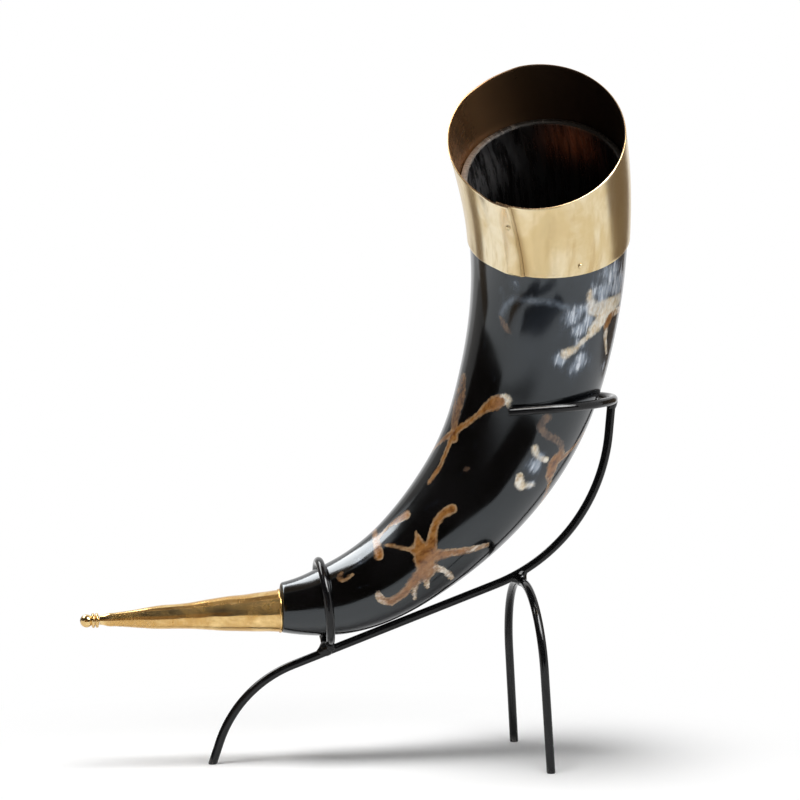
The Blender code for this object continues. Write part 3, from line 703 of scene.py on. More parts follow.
def grown_splash(horn, at, round_at, size, arms, seed):
    """Splash of long bent arms, some with club ends, and short spikes between them."""
    draw = np.random.default_rng(seed)
    radius = horn.radius(at * MM) / MM
    middle = size * 0.29
    tone = 1.0 if at < 180 else 0.4
    made = [(1.0, ((at - 1, round_at, middle), (at + 2, round_at + 3, middle * 0.9)))]
    first = draw.uniform(0, 2 * math.pi)
    for i in range(arms):
        way = first + 2 * math.pi * (i + draw.uniform(-0.3, 0.3)) / arms
        long_arm = i % 2 == 0
        reach = size * (draw.uniform(1.1, 1.7) if long_arm else draw.uniform(0.55, 0.9))
        thin = draw.uniform(1.2, 1.9) if long_arm else draw.uniform(0.9, 1.4)
        club = thin * (draw.uniform(0.7, 1.5) if long_arm else 0.5)
        bend = draw.uniform(-0.7, 0.7)
        arm = []
        for share, width in ((0.15, middle * 0.75), (0.45, thin * 1.3), (0.8, thin), (1.0, club)):
            turn = way + bend * share**2
            across = reach * share * math.sin(turn) / radius
            arm.append((at + reach * share * math.cos(turn), round_at + math.degrees(across), width))
        made.append((tone * draw.uniform(0.6, 1.2), arm))
    return made


def splash_fields(horn, points):
    """Distance to the nearest splash's edge in mm, under 0 inside, and the tone of the arms near by."""
    arms = [*STAR, *TAIL_SPLASH, *HOLLOW_SPLASH, *BELLY_SPLASH, *UPPER_SPLASH]
    for seed, splash in enumerate(BACK_SPLASHES, BACK_SEED):
        arms += grown_splash(horn, *splash, seed)
    distance = np.full(len(points), SPLASH_REACH)
    tone, total = np.zeros(len(points)), np.full(len(points), NEXT_TO_NOTHING)
    for colour, arm in arms:
        run = run_through(arm)
        places = horn.points(run[:, 0] * MM, np.radians(run[:, 1]))
        low, high = places.min(0) - SPLASH_MARGIN, places.max(0) + SPLASH_MARGIN
        near = np.flatnonzero(((points > low) & (points < high)).all(1))
        gap = np.full(len(near), SPLASH_REACH)
        for place, half in zip(places, run[:, 2]):
            np.minimum(gap, np.linalg.norm(points[near] - place, axis=1) / MM - half, out=gap)
        weight = np.exp(-gap / TONE_BLEND)
        tone[near] += colour * weight
        total[near] += weight
        distance[near] = np.minimum(distance[near], gap)
    return distance, tone / total


def spot_field(horn, points, spots):
    """Strength of soft spots, each of (mm along, degrees round, reach in mm, strength)."""
    strength = np.zeros(len(points))
    for at, round_at, reach, weight in spots:
        place = horn.points([at * MM], [math.radians(round_at)])[0]
        far = np.linalg.norm(points - place, axis=1) / (reach * MM)
        np.maximum(strength, weight * bell(far, 0, 1), out=strength)
    return strength


def tenon_row(horn, angles, height, inset=0.0):
    radius = ferrule_radius(height) - FERRULE_WALL - SEAT_GAP - inset
    middle = np.array(ferrule_axis_point(horn, height))
    up = np.array(direction(FERRULE_SLOPE + 90))
    return middle + radius * (np.outer(np.cos(angles), up) + np.outer(np.sin(angles), FRONT))


def horn_rows(horn, angles):
    """Tenon, uneven skin, rounded mouth edge and carved cavity: rows, their places along and finishes."""
    skin, cut, inside = range(3)
    made = [
        (tenon_row(horn, angles, TENON_LENGTH, TENON_CHAMFER), 0, cut),
        (tenon_row(horn, angles, TENON_LENGTH - TENON_CHAMFER), 0, cut),
        (tenon_row(horn, angles, -SEAT_GAP), 0, cut),
        (horn.points(0, angles, -TAIL_ROUND), 0, cut),
    ]
    for turn in np.radians((30, 60)):
        along = TAIL_ROUND * (1 - math.cos(turn))
        made.append((horn.points(along, angles, TAIL_ROUND * (math.sin(turn) - 1)), 0, skin))
    edge_round = MOUTH_WALL / 3
    straight_end = HORN_EDGE_AT - edge_round
    for along in np.linspace(TAIL_ROUND, straight_end, HORN_ROWS):
        uneven = waves(along / HORN_UNEVEN_LENGTH, angles, seed=3) - 1
        worked = waves(along / HORN_WORKED_LENGTH, angles, seed=5, count=8) - 1
        sink = (HORN_UNEVEN * uneven + HORN_WORKED * worked) * smooth(0, HORN_TRUE_TAIL, along)
        made.append((horn.points(along, angles, sink), along, skin))
    turns = np.radians((30, 60, 90))
    outer = [(straight_end + edge_round * math.sin(t), edge_round * (1 - math.cos(t))) for t in turns]
    inner = [(along, MOUTH_WALL - inset) for along, inset in outer[::-1]]
    for along, inset in outer + [(HORN_EDGE_AT, MOUTH_WALL / 2)] + inner:
        made.append((horn.points(along, angles, -inset), along, cut))
    dome_from = CAVITY_END_AT + CAVITY_END_LENGTH
    for along in np.linspace(straight_end, dome_from, CAVITY_ROWS):
        carved = CARVING * smooth(HORN_EDGE_AT, HORN_EDGE_AT - CARVING_LENGTH, along)
        carved = carved * waves(along / CARVING_LENGTH, angles, seed=9)
        made.append((horn.points(along, angles, carved - horn_wall(along)), along, inside))
    for turn in np.radians((10, 20, 30, 40, 50, 60, 70, 78, 84)):
        along = dome_from - CAVITY_END_LENGTH * math.sin(turn)
        made.append((horn.points(along, angles, -horn_wall(along), math.cos(turn)), along, inside))
    return zip(*made)


def make_horn(horn, skin, cut, inside):
    angles = full_turn(HORN_SIDES)
    rows, lengths, kinds = horn_rows(horn, angles)
    points = np.concatenate(rows)
    face_finish = np.repeat(kinds[1:], HORN_SIDES).tolist() + [kinds[0], kinds[-1]]
    outer = np.repeat(np.array(kinds) == 0, HORN_SIDES)
    line = [(at, round_at, LINE_REACH, 1.0) for at, round_at in run_through(PALE_LINE)]
    fields = (*splash_fields(horn, points[outer]), spot_field(horn, points[outer], SMEARS_AND_SHEEN),
              spot_field(horn, points[outer], line))
    values = {"straight": np.concatenate([horn.straight(along, angles) for along in lengths])}
    for key, elsewhere, field in zip(("splash", "tone", "smear_and_sheen", "line"), (SPLASH_REACH, 1, 0, 0), fields):
        values[key] = np.full(len(points), elsewhere, float)
        values[key][outer] = field
    turn = np.tile(angles, len(rows))
    depth = np.repeat(HORN_EDGE_AT - np.array(lengths), HORN_SIDES)
    # A red-brown patch, and the painted sheen at the left
    for key, (degrees, spread, middle, reach) in (("red", RED_PATCH), ("inside_sheen", INSIDE_SHEEN_PATCH)):
        values[key] = toward(turn, degrees, spread) * bell(depth, middle, reach)
    # Lit side of the cut edge; the rest of the edge is painted shade
    values["lit_pale_edge"] = toward(turn, *LIT_PALE_EDGE)
    # Painted reflection on the front under the collar
    front = smooth(*PAINTED_REFLECTION_RISE, np.degrees(turn)) * smooth(*PAINTED_REFLECTION_FALL, np.degrees(turn))
    values["painted_reflection"] = front * smooth(*PAINTED_REFLECTION_END, depth)
    faces = capped(len(rows), HORN_SIDES)
    add_piece("horn", "horn_shell", points, faces, (skin, cut, inside), values, face_finish)


# Collar

def collar_dents(along, angle):
    """How far the sheet stands out of true, in metres: held by the horn below, free above its edge."""
    free = smooth(HORN_EDGE_AT - COLLAR_GRIP, RIM_AT, along)
    flat = bell(np.cos(angle - math.radians(COLLAR_FLAT_ANGLE)), 1, COLLAR_FLAT_SPREAD)
    uneven = waves(along / COLLAR_DENT_LENGTH, angle, seed=21)
    loose = COLLAR_DENT * (uneven - COLLAR_DENT_INWARD) - COLLAR_FLAT * flat
    return free * loose + COLLAR_HELD_DENT * (uneven - 1)


def make_collar(horn, finish):
    """Sheet that starts under its own end and runs round the horn to lie on top of its start."""
    half = COLLAR_SHEET / 2
    low, high = COLLAR_FROM + half, RIM_AT - half
    rounding = [(half * math.sin(t), half * math.cos(t)) for t in np.radians((30, 60, 90, 120, 150))]
    section = [(along, COLLAR_SHEET) for along in np.linspace(low, high, COLLAR_ROWS)]
    section += [(high + past, half + out) for past, out in rounding]
    section += [(along, 0.0) for along in np.linspace(high, low, COLLAR_ROWS)]
    section += [(low - past, half - out) for past, out in rounding]
    along, depth = np.array(section).T
    lap = -collar_angle(COLLAR_LAP)
    climb = lap - collar_angle(SEAT_GAP + COLLAR_LAP_EASE)
    body = np.linspace(lap - 2 * math.pi, climb, COLLAR_COLUMNS)
    turns = np.concatenate([body, np.linspace(climb, 0, COLLAR_LAP_COLUMNS)[1:]])
    stain = LAP_STAIN + LAP_STAIN_GAIN * (RIM_AT - along) / COLLAR_HEIGHT
    points, values = [], {"straight": [], "inner": [], "joint": [], "wear_and_highlight": []}
    for turn in turns:
        t = smooth(0, collar_angle(COLLAR_LAP_EASE), turn - climb)
        end = 1 - smooth(0, collar_angle(COLLAR_FILED), -turn)
        lift = SEAT_GAP + (COLLAR_SHEET + SEAT_GAP) * t - SEAT_GAP * LAP_END_SHUT * end
        angle = seam_angle(along) + turn
        out = lift + depth * (1 - LAP_END_FILED * end) + collar_dents(along, angle)
        points.append(horn.points(along, angle, out))
        from_edge = min(abs(turn), abs(turn + 2 * math.pi)) * SECTION_WIDTH[-1] / 2
        values["straight"].append(horn.straight(along, angle))
        # Lining: painted amber on its lit side and near black elsewhere, as painted shade
        values["inner"].append(smooth(half * 1.7, half * 0.7, depth) * (1 - 0.5 * toward(angle, *LIT_LINING)))
        values["joint"].append(bell(from_edge, 0, stain) * (depth > half))
        # Painted highlight on the collar beside the seam
        values["wear_and_highlight"].append(toward(angle, *BRASS_HIGHLIGHT))
    values = {key: np.concatenate(value) for key, value in values.items()}
    faces = capped(len(turns), len(section))
    piece = add_piece("mouth_band", "mouth_collar", np.concatenate(points), faces, (finish,), values)
    piece.data.set_sharp_from_angle(angle=math.radians(SHARP_EDGE))


# Turned pieces

def aim(point, axis):
    """Matrix at a point with local Z along an axis."""
    return Matrix.LocRotScale(point, axis.to_track_quat("Z", "Y"), None)


def turned(name, node, profile, place, sides, finish, unevenness=None):
    """Solid of revolution about local Z, from (radius, height). An uneven one is a tube, open at its ends."""
    radius, height = np.array(profile).T
    around, up = np.meshgrid(full_turn(sides), height)
    reach = np.repeat(radius[:, None], sides, 1)
    if unevenness:
        reach = reach + unevenness(up, around)
        last = (len(profile) - 1) * sides
        ends = [(last + i, last + (i + 1) % sides, (i + 1) % sides, i) for i in range(sides)]
        faces = quads(len(profile), sides) + ends
    else:
        faces = capped(len(profile), sides)
    local = np.stack([reach * np.cos(around), reach * np.sin(around), up], -1).reshape(-1, 3)
    matrix = np.array(place)
    points = local @ matrix[:3, :3].T + matrix[:3, 3]
    straight = unrolled(up, reach, around).reshape(-1, 3)
    piece = add_piece(name, node, points, faces, (finish,), {"straight": straight})
    piece.data.set_sharp_from_angle(angle=math.radians(SHARP_EDGE))


def spread_out(path, step):
    """Points of a path no further apart than a step."""
    out = [path[0]]
    for one, other in zip(path, path[1:]):
        parts = max(1, math.ceil((other - one).length / step))
        out += [one.lerp(other, i / parts) for i in range(1, parts + 1)]
    return out


def fine(profile, step):
    return spread_out([Vector(point) for point in profile], step)


def arc(centre, across, up, start, end, steps):
    """Part of an oval of half sizes across and up, between two angles in degrees."""
    turns = np.radians(np.linspace(start, end, steps + 1))
    return [(centre[0] + across * math.cos(t), centre[1] + up * math.sin(t)) for t in turns]


def tack_profile(length, inner_head=False):
    """Domed head on a shank of a length, which may end in a second head."""
    shank, head, brim = TACK_SHANK / 2, TACK_HEAD / 2, SEAT_GAP * 0.2
    profile = [(AXIS_RADIUS, SEAT_GAP + TACK_HEAD_HEIGHT)]
    profile += arc((0, SEAT_GAP), head, TACK_HEAD_HEIGHT, 90, 0, DOME_STEPS)[1:]
    profile += [(head * 0.96, brim), (shank, brim), (shank, -length)]
    low = -length
    if inner_head:
        under = -length - SEAT_GAP
        low = under - TACK_HEAD_HEIGHT
        profile += [(shank, under), (head, under), (shank * 1.4, low)]
    return profile + [(AXIS_RADIUS, low)]


def make_fixings(horn, finish):
    """The collar's tacks, and the rivet through its lap."""
    face = SEAT_GAP + COLLAR_SHEET
    lap_face = face + SEAT_GAP + COLLAR_SHEET
    tack, rivet = tack_profile(face + TACK_BITE), tack_profile(lap_face - SEAT_GAP, True)
    fixings = []
    for number, degrees in enumerate(TACK_ANGLES, 1):
        names = f"band_tack_{number}", f"collar_tack_{number}"
        fixings.append((names, tack, COLLAR_FROM + TACK_UP, math.radians(degrees), face))
    at = HORN_EDGE_AT + RIVET_UP
    angle = seam_angle(at) - collar_angle(COLLAR_LAP) / 2
    fixings.append((("band_rivet", "collar_rivet"), rivet, at, angle, lap_face))
    for names, profile, along, angle, out in fixings:
        place = aim(*horn.surface(along, angle, out + float(collar_dents(along, angle))))
        turned(*names, profile, place, TACK_SIDES, finish)


def ferrule_flare(height, rise):
    """How far the wide end is spread, most at its top side."""
    return (FERRULE_FLARE + FERRULE_FLARE_RISE * rise) * smooth(FERRULE_FLARE_LENGTH, 0.0, height)


def ferrule_dents(height, angle):
    """Hand-drawn sheet: a slight swell, long shallow flats, a kink, a full nose and a flared lip."""
    swell = FERRULE_SWELL * np.sin(math.pi * np.clip(height / NOSE_FROM, 0, 1))
    dents = FERRULE_DENT * waves(height / FERRULE_DENT_LENGTH, angle, seed=31, count=7)
    taps = FERRULE_TAP * waves(height / FERRULE_TAP_LENGTH, angle, seed=33, count=8)
    bent = bell(height, FERRULE_KINK_AT, FERRULE_KINK_LENGTH) * np.cos(angle - FERRULE_KINK_TURN)
    kink = FERRULE_KINK * (bent - 1)
    body = smooth(*BODY_RISE, height) * smooth(*BODY_FALL, height)
    nose = NOSE_SWELL * smooth(*NOSE_RISE, height) * smooth(*NOSE_FALL, height)
    return body * (swell + dents + taps + kink) + nose + ferrule_flare(height, np.sin(angle))


def make_ferrule(horn, finish):
    """Open cone with a rolled lip, and the tack that holds it to the tenon."""
    base, nose = FERRULE_DIAMETER / 2, NOSE_DIAMETER / 2
    lip_top = FERRULE_LIP_LENGTH
    bore = nose - FERRULE_WALL
    cone = [(ferrule_radius(lip_top), lip_top), (nose, NOSE_FROM), (nose, FERRULE_LENGTH)]
    roll = arc((base, lip_top / 2), FERRULE_LIP, lip_top / 2, -80, 80, DOME_STEPS)
    inner = [(bore, FERRULE_LENGTH), (bore, NOSE_FROM), (base - FERRULE_WALL, 0)]
    profile = [(base, 0.0)] + roll + fine(cone, CONE_STEP) + fine(inner, BORE_STEP)
    axis = -direction(FERRULE_SLOPE)
    place = aim(ferrule_axis_point(horn, 0), axis)
    turned("tail_cone", "tip_ferrule", profile, place, FERRULE_SIDES, finish, ferrule_dents)
    outward = Matrix.Rotation(math.radians(FERRULE_TACK_ANGLE), 3, axis) @ direction(FERRULE_SLOPE + 90)
    reach = ferrule_radius(FERRULE_TACK_UP) + ferrule_flare(FERRULE_TACK_UP, outward.z)
    foot = ferrule_axis_point(horn, FERRULE_TACK_UP) + outward * float(reach)
    profile = tack_profile(FERRULE_WALL + SEAT_GAP + TACK_BITE)
    turned("cone_tack", "ferrule_tack", profile, aim(foot, outward), TACK_SIDES, finish)


def make_finial(horn, finish):
    """Ball on two beads, with a stem that plugs the ferrule's nose."""
    groove = GROOVE_DIAMETER / 2
    bead_round = BEAD_LENGTH / 2
    bead_core = BEAD_DIAMETER / 2 - bead_round
    ball = BALL_DIAMETER / 2 - BALL_SHAVE
    stem = NOSE_DIAMETER / 2 - FERRULE_WALL - SEAT_GAP
    first = SEAT_GAP + GROOVE_LENGTH + bead_round
    second = first + BEAD_LENGTH + GROOVE_LENGTH
    ball_foot = second + bead_round + GROOVE_LENGTH
    ball_centre = ball_foot + math.sqrt(ball**2 - groove**2)
    ball_end = -math.degrees(math.acos(groove / ball))
    profile = arc((AXIS_RADIUS, ball_centre), ball, ball, 89.8, ball_end, BALL_STEPS)
    for middle in (second, first):
        profile.append((groove, middle + bead_round))
        profile += arc((bead_core, middle), bead_round, bead_round, 80, -80, BEAD_STEPS)
        profile.append((groove, middle - bead_round))
    stem_end = SEAT_GAP - STEM_LENGTH
    profile += [(groove, SEAT_GAP), (stem, SEAT_GAP), (stem, stem_end), (AXIS_RADIUS, stem_end)]
    place = aim(ferrule_axis_point(horn, FERRULE_LENGTH), -direction(FERRULE_SLOPE))
    turned("ball_end", "tip_finial", profile, place, TURNED_SIDES, finish)


# Stand

def make_rod(name, node, path, finish, floor_ends=(False, False)):
    """Round rod along a path. Its ends are eased, or stand flat on the floor."""
    path = spread_out(path, ROD_STEP)
    ways = [(b - a).normalized() for a, b in zip(path, path[1:])]
    tangents = [ways[0]] + [(a + b).normalized() for a, b in zip(ways, ways[1:])] + [ways[-1]]
    side = tangents[0].orthogonal().normalized()
    angles = full_turn(ROD_SIDES)
    rows, places, length = [], [], 0.0
    for i, (point, way) in enumerate(zip(path, tangents)):
        side = (side - way * side.dot(way)).normalized()
        ring = np.outer(np.cos(angles), side) + np.outer(np.sin(angles), way.cross(side))
        if i:
            length += (point - path[i - 1]).length
        end = -1 if i == 0 else 1 if i == len(path) - 1 else 0
        layers = [np.array(point) + ring * ROD_RADIUS]
        if end and floor_ends[max(end, 0)]:
            layers = []
            for height, radius in ((0.0, ROD_RADIUS - ROD_EASE / 2), (ROD_EASE, ROD_RADIUS)):
                row = np.array(point) + ring * radius
                layers.append(row - np.outer((row[:, 2] - height) / way.z, way))
        elif end:
            layers = []
            for turn in np.radians((90, 60, 30, 0)):
                back = ROD_EASE * (1 - math.sin(turn))
                radius = ROD_RADIUS - ROD_EASE * (1 - math.cos(turn))
                layers.append(np.array(point - way * end * back) + ring * radius)
        rows += layers[::-1] if end > 0 else layers
        places += [unrolled(length, ROD_RADIUS, angles)] * len(layers)
    faces = capped(len(rows), ROD_SIDES)
    add_piece(name, node, np.concatenate(rows), faces, (finish,), {"straight": np.concatenate(places)})


def distance_to_path(points, path):
    """Shortest distance from points to a path of straight runs."""
    best = np.full(len(points), np.inf)
    for one, other in zip(path, path[1:]):
        run = np.array(other - one)
        t = np.clip(((points - np.array(one)) @ run) / (run @ run), 0, 1)
        best = np.minimum(best, np.linalg.norm(points - np.array(one) - t[:, None] * run, axis=1))
    return best


def ball_grid(columns, rows):
    """Unit directions and faces of a ball, with a point at each pole."""
    turns = np.linspace(0, math.pi, rows + 2)[1:-1]
    t, a = np.meshgrid(turns, full_turn(columns), indexing="ij")
    ring = np.stack([np.sin(t) * np.cos(a), np.sin(t) * np.sin(a), np.cos(t)], -1).reshape(-1, 3)
    points = np.concatenate([ring, [[0, 0, 1], [0, 0, -1]]])
    faces = quads(rows, columns)
    top, low, last = len(ring), len(ring) + 1, (rows - 1) * columns
    for i in range(columns):
        j = (i + 1) % columns
        faces += [(top, j, i), (low, last + i, last + j)]
    return points, faces


def make_weld(name, node, joint, reach, paths, finish, seed):
    """Lumpy bead that flows from one rod to the other and dips under their faces at its edge."""
    ways, faces = ball_grid(WELD_COLUMNS, WELD_ROWS)
    centre = np.array(joint)
    paths = [[p for p in spread_out(path, MM) if (p - joint).length < WELD_NEAR] for path in paths]
    lump, ripple = [
        np.array([noise.noise(Vector(way) * rate + Vector(shift)) for way in ways])
        for rate, shift in ((WELD_LUMP_RATE, (seed, 0, 0)), (WELD_RIPPLE_RATE, (0, seed, 0)))
    ]
    proud = WELD_PROUD + WELD_LUMP * lump + WELD_RIPPLE * ripple

    def outside(radius):
        places = centre + ways * radius[:, None]
        gaps = [distance_to_path(places, path) - ROD_RADIUS for path in paths]
        blend = -WELD_BLEND * np.log(sum(np.exp(-gap / WELD_BLEND) for gap in gaps))
        return blend > proud - WELD_DIP * (radius / reach) ** 2

    low, high = np.full(len(ways), WELD_CORE), np.full(len(ways), reach)
    for _ in range(WELD_HALVINGS):
        middle = (low + high) / 2
        past = outside(middle)
        low, high = np.where(past, low, middle), np.where(past, middle, high)
    points = centre + ways * low[:, None]
    add_piece(name, node, points, faces, (finish,), {"straight": points * CM_PER_METRE})


def make_stand(horn, finish):
    stand = StandForm(horn)
    make_rod("stand_spine", "spine_rod", stand.spine, finish, (True, False))
    make_rod("stand_legs", "rear_leg_arch", stand.legs, finish, (True, True))
    make_rod("stand_fork", "cradle_fork", stand.cradle, finish)
    make_rod("stand_hoop", "tail_ring", stand.ring, finish)
    ring_ends = [stand.ring[:RING_FOOT_POINTS], stand.ring[-RING_FOOT_POINTS:]]
    for names, joint, reach, others, seed in (
        (("fork_bead", "cradle_weld"), stand.spine_top, WELD_REACH, [stand.cradle], 3),
        (("leg_bead", "leg_weld"), stand.leg_joint, LEG_WELD_REACH, [stand.legs], 7),
        (("hoop_bead", "ring_weld"), stand.ring_joint, WELD_REACH, ring_ends, 11),
    ):
        make_weld(*names, joint, reach, [stand.spine, *others], finish, seed)


# Finishes

class Nodes:
    """Node tree of a material or world. Values may be numbers, colours or other nodes' sockets."""

    def __init__(self, owner):
        owner.use_nodes = True
        self.tree = owner.node_tree

    def put(self, socket, value):
        if isinstance(value, bpy.types.NodeSocket):
            self.tree.links.new(value, socket)
        else:
            socket.default_value = (*value, 1) if socket.type == "RGBA" else value

    def node(self, kind, inputs, output=0, **settings):
        made = self.tree.nodes.new("ShaderNode" + kind)
        for key, value in settings.items():
            setattr(made, key, value)
        for key, value in inputs.items():
            self.put(made.inputs[key], value)
        return made.outputs[output]

    def surface(self, shader):
        self.put(self.tree.get_output_node("ALL").inputs["Surface"], shader)

    def math(self, operation, one, other):
        return self.node("Math", {0: one, 1: other}, operation=operation)

    def plus(self, one, other):
        return self.math("ADD", one, other)

    def times(self, one, other):
        return self.math("MULTIPLY", one, other)

    def background_rays(self):
        """1 for rays that show the background: from the camera, in gloss and through glass."""
        total = self.node("LightPath", {}, "Is Camera Ray")
        for ray in ("Is Glossy Ray", "Is Transmission Ray"):
            total = self.math("MAXIMUM", total, self.node("LightPath", {}, ray))
        return total

    def value(self, name):
        return self.node("Attribute", {}, "Fac", attribute_name=name)

    def grain(self, along, across, detail, roughness=0.55, distortion=0.0):
        """Noise stretched along a piece, in features to the cm along and across it."""
        straight = self.node("Attribute", {}, "Vector", attribute_name="straight")
        place = self.node("VectorMath", {0: straight, 1: (along, across, across)}, operation="MULTIPLY")
        inputs = {"Vector": place, "Scale": 1.0, "Detail": detail}
        return self.node("TexNoise", {**inputs, "Roughness": roughness, "Distortion": distortion})

    def swing(self, value, amount):
        """A noise's departure from its middle, times an amount."""
        return self.times(self.math("SUBTRACT", value, 0.5), amount)

    def span(self, value, low, high, start=0.0, end=1.0, kind="SMOOTHSTEP"):
        inputs = {"Value": value, "From Min": low, "From Max": high, "To Min": start, "To Max": end}
        return self.node("MapRange", inputs, interpolation_type=kind)

    def mix(self, share, one, other):
        return self.node("Mix", {0: share, 6: one, 7: other}, 2, data_type="RGBA")

    def bump(self, height, strength, distance):
        return self.node("Bump", {"Height": height, "Strength": strength, "Distance": distance})


class Finish(Nodes):
    """Material, made from its Principled shader."""

    def __init__(self, name):
        self.material = bpy.data.materials.new(name)
        super().__init__(self.material)
        self.shader = self.tree.nodes["Principled BSDF"]

    def shade(self, **inputs):
        for key, value in inputs.items():
            self.put(self.shader.inputs[key.replace("_", " ")], value)
        return self.material


def dyed_horn():
    """Black dye with brown depth and long grain, a painted reflection under the collar, tan and cream
    splashes with pale rims, and pale smears that are partly painted reflection.
    """
    f = Finish("dyed_horn")
    broad = f.grain(0.35, 0.55, detail=4)
    grain = f.grain(0.30, 9, detail=3, roughness=0.6)
    cloud = f.grain(0.9, 1.7, detail=4)
    dye = f.mix(f.span(broad, 0.35, 0.7), (0.0008, 0.0007, 0.0007), (0.003, 0.0027, 0.003))
    dye = f.mix(f.span(grain, 0.55, 0.85, 0, 0.4), dye, (0.009, 0.007, 0.006))
    # Painted reflection: a bluish lift of the dye on the front under the collar
    painted_reflection = f.times(f.value("painted_reflection"), f.span(broad, 0.3, 0.6, 0.6, 1.0))
    dye = f.mix(painted_reflection, dye, (0.012, 0.015, 0.020))
    line = f.times(f.value("line"), f.span(cloud, 0.40, 0.60, 0.35, 0.9))
    dye = f.mix(line, dye, (0.130, 0.155, 0.190))

    ragged = f.grain(5, 7, detail=5, roughness=0.65)
    frayed = f.grain(1.6, 16, detail=2)
    mottle = f.grain(2.6, 4, detail=5, roughness=0.65)
    patches = f.grain(1.1, 1.6, detail=3)
    distance = f.plus(f.value("splash"), f.plus(f.swing(ragged, 2.4), f.swing(frayed, 0.9)))
    softness = f.plus(f.span(patches, 0.38, 0.62, 0.25, 1.3), f.span(f.value("tone"), 0.45, 0.0, 0.0, 1.2))
    inside = f.span(f.math("DIVIDE", distance, softness), 0.7, -0.7)
    tan = f.mix(f.span(mottle, 0.34, 0.54), (0.150, 0.050, 0.009), (0.310, 0.128, 0.028))
    tan = f.mix(f.span(mottle, 0.52, 0.74), tan, (0.42, 0.22, 0.075))
    rim = f.times(f.span(distance, -1.3, -0.2), f.span(patches, 0.62, 0.42, 0.25, 0.85))
    tan = f.mix(rim, tan, (0.38, 0.265, 0.150))
    cream = f.mix(f.span(mottle, 0.36, 0.60), (0.74, 0.59, 0.37), (0.94, 0.89, 0.78))
    dull = f.mix(f.span(mottle, 0.36, 0.62), (0.050, 0.032, 0.022), (0.120, 0.080, 0.055))
    tone = f.plus(f.value("tone"), f.swing(mottle, -0.8))
    splash = f.mix(f.span(tone, 0.85, 0.35), tan, cream)
    splash = f.mix(f.span(tone, 1.1, 1.7), splash, dull)
    splash = f.mix(f.span(grain, 0.30, 0.70, 0.25, 0.0), splash, (0.10, 0.042, 0.016))
    colour = f.mix(inside, dye, splash)

    streak = f.grain(0.55, 6, detail=5, roughness=0.7, distortion=0.4)
    broken = f.plus(f.times(cloud, 1.1), f.times(streak, 0.8))
    # Pale smears, partly real scuffs and partly painted reflection
    smear_and_sheen = f.plus(f.value("smear_and_sheen"), f.plus(broken, -0.95))
    cover = f.times(f.span(smear_and_sheen, 0.15, 0.90, 0.0, 0.95), f.span(inside, 0, 1, 1.0, 0.40))
    smear_and_sheen_colour = f.mix(f.span(smear_and_sheen, 0.40, 1.00), (0.045, 0.060, 0.085), (0.30, 0.35, 0.42))
    # Painted highlight: whitish glints along the smears
    glints = f.times(f.span(streak, 0.48, 0.66), f.span(smear_and_sheen, 0.5, 0.9))
    colour = f.mix(cover, colour, f.mix(glints, smear_and_sheen_colour, (0.80, 0.84, 0.90)))

    rough = f.plus(f.span(broad, 0.3, 0.7, 0.10, 0.16, "LINEAR"), f.times(inside, 0.05))
    relief = f.bump(f.plus(f.times(grain, 0.5), f.times(inside, -0.5)), 0.10, 0.0004)
    f.shade(IOR=1.67, Specular_Tint=(0.88, 0.95, 1.0))
    return f.shade(Base_Color=colour, Roughness=rough, Normal=relief)


def cut_horn():
    """Sawn edge of the horn: pale horn on its lit side, at the left, and painted dark elsewhere as shade."""
    f = Finish("cut_horn")
    rings = f.grain(30, 14, detail=4)
    flecks = f.grain(4, 5, detail=4)
    pale = f.mix(f.span(rings, 0.3, 0.7), (0.10, 0.085, 0.072), (0.25, 0.22, 0.19))
    dark = f.mix(f.span(rings, 0.3, 0.7), (0.006, 0.005, 0.004), (0.020, 0.015, 0.011))
    # Pale horn on the lit side of the edge; the rest is painted shade
    lit_pale_edge = f.plus(f.value("lit_pale_edge"), f.swing(flecks, 1.6))
    colour = f.mix(f.span(lit_pale_edge, 0.35, 0.75), dark, pale)
    rough = f.span(rings, 0.2, 0.8, 0.35, 0.55)
    relief = f.bump(rings, 0.2, 0.0003)
    return f.shade(Base_Color=colour, Roughness=rough, Normal=relief, Specular_IOR_Level=0.08)


def horn_inside():
    """Scraped inside: nearly black, with a red-brown patch at the back and a painted grey sheen at the left.
    """
    f = Finish("horn_inside")
    streak = f.grain(0.45, 5, detail=4, roughness=0.6)
    scrape = f.grain(0.7, 3, detail=5, roughness=0.6)
    colour = f.mix(f.span(streak, 0.4, 0.7), (0.0016, 0.0014, 0.0014), (0.0040, 0.0030, 0.0026))
    red = f.times(f.value("red"), f.span(streak, 0.32, 0.68, 0.3, 1.0))
    colour = f.mix(red, colour, (0.17, 0.050, 0.022))
    # Painted sheen: grey reflection on the inside at the left
    inside_sheen = f.times(f.value("inside_sheen"), f.span(scrape, 0.30, 0.74))
    colour = f.mix(inside_sheen, colour, (0.20, 0.20, 0.205))
    rough = f.span(scrape, 0.3, 0.7, 0.20, 0.36)
    relief = f.bump(f.plus(scrape, f.times(streak, 0.3)), 0.05, 0.0005)
    return f.shade(Base_Color=colour, Roughness=rough, Normal=relief)


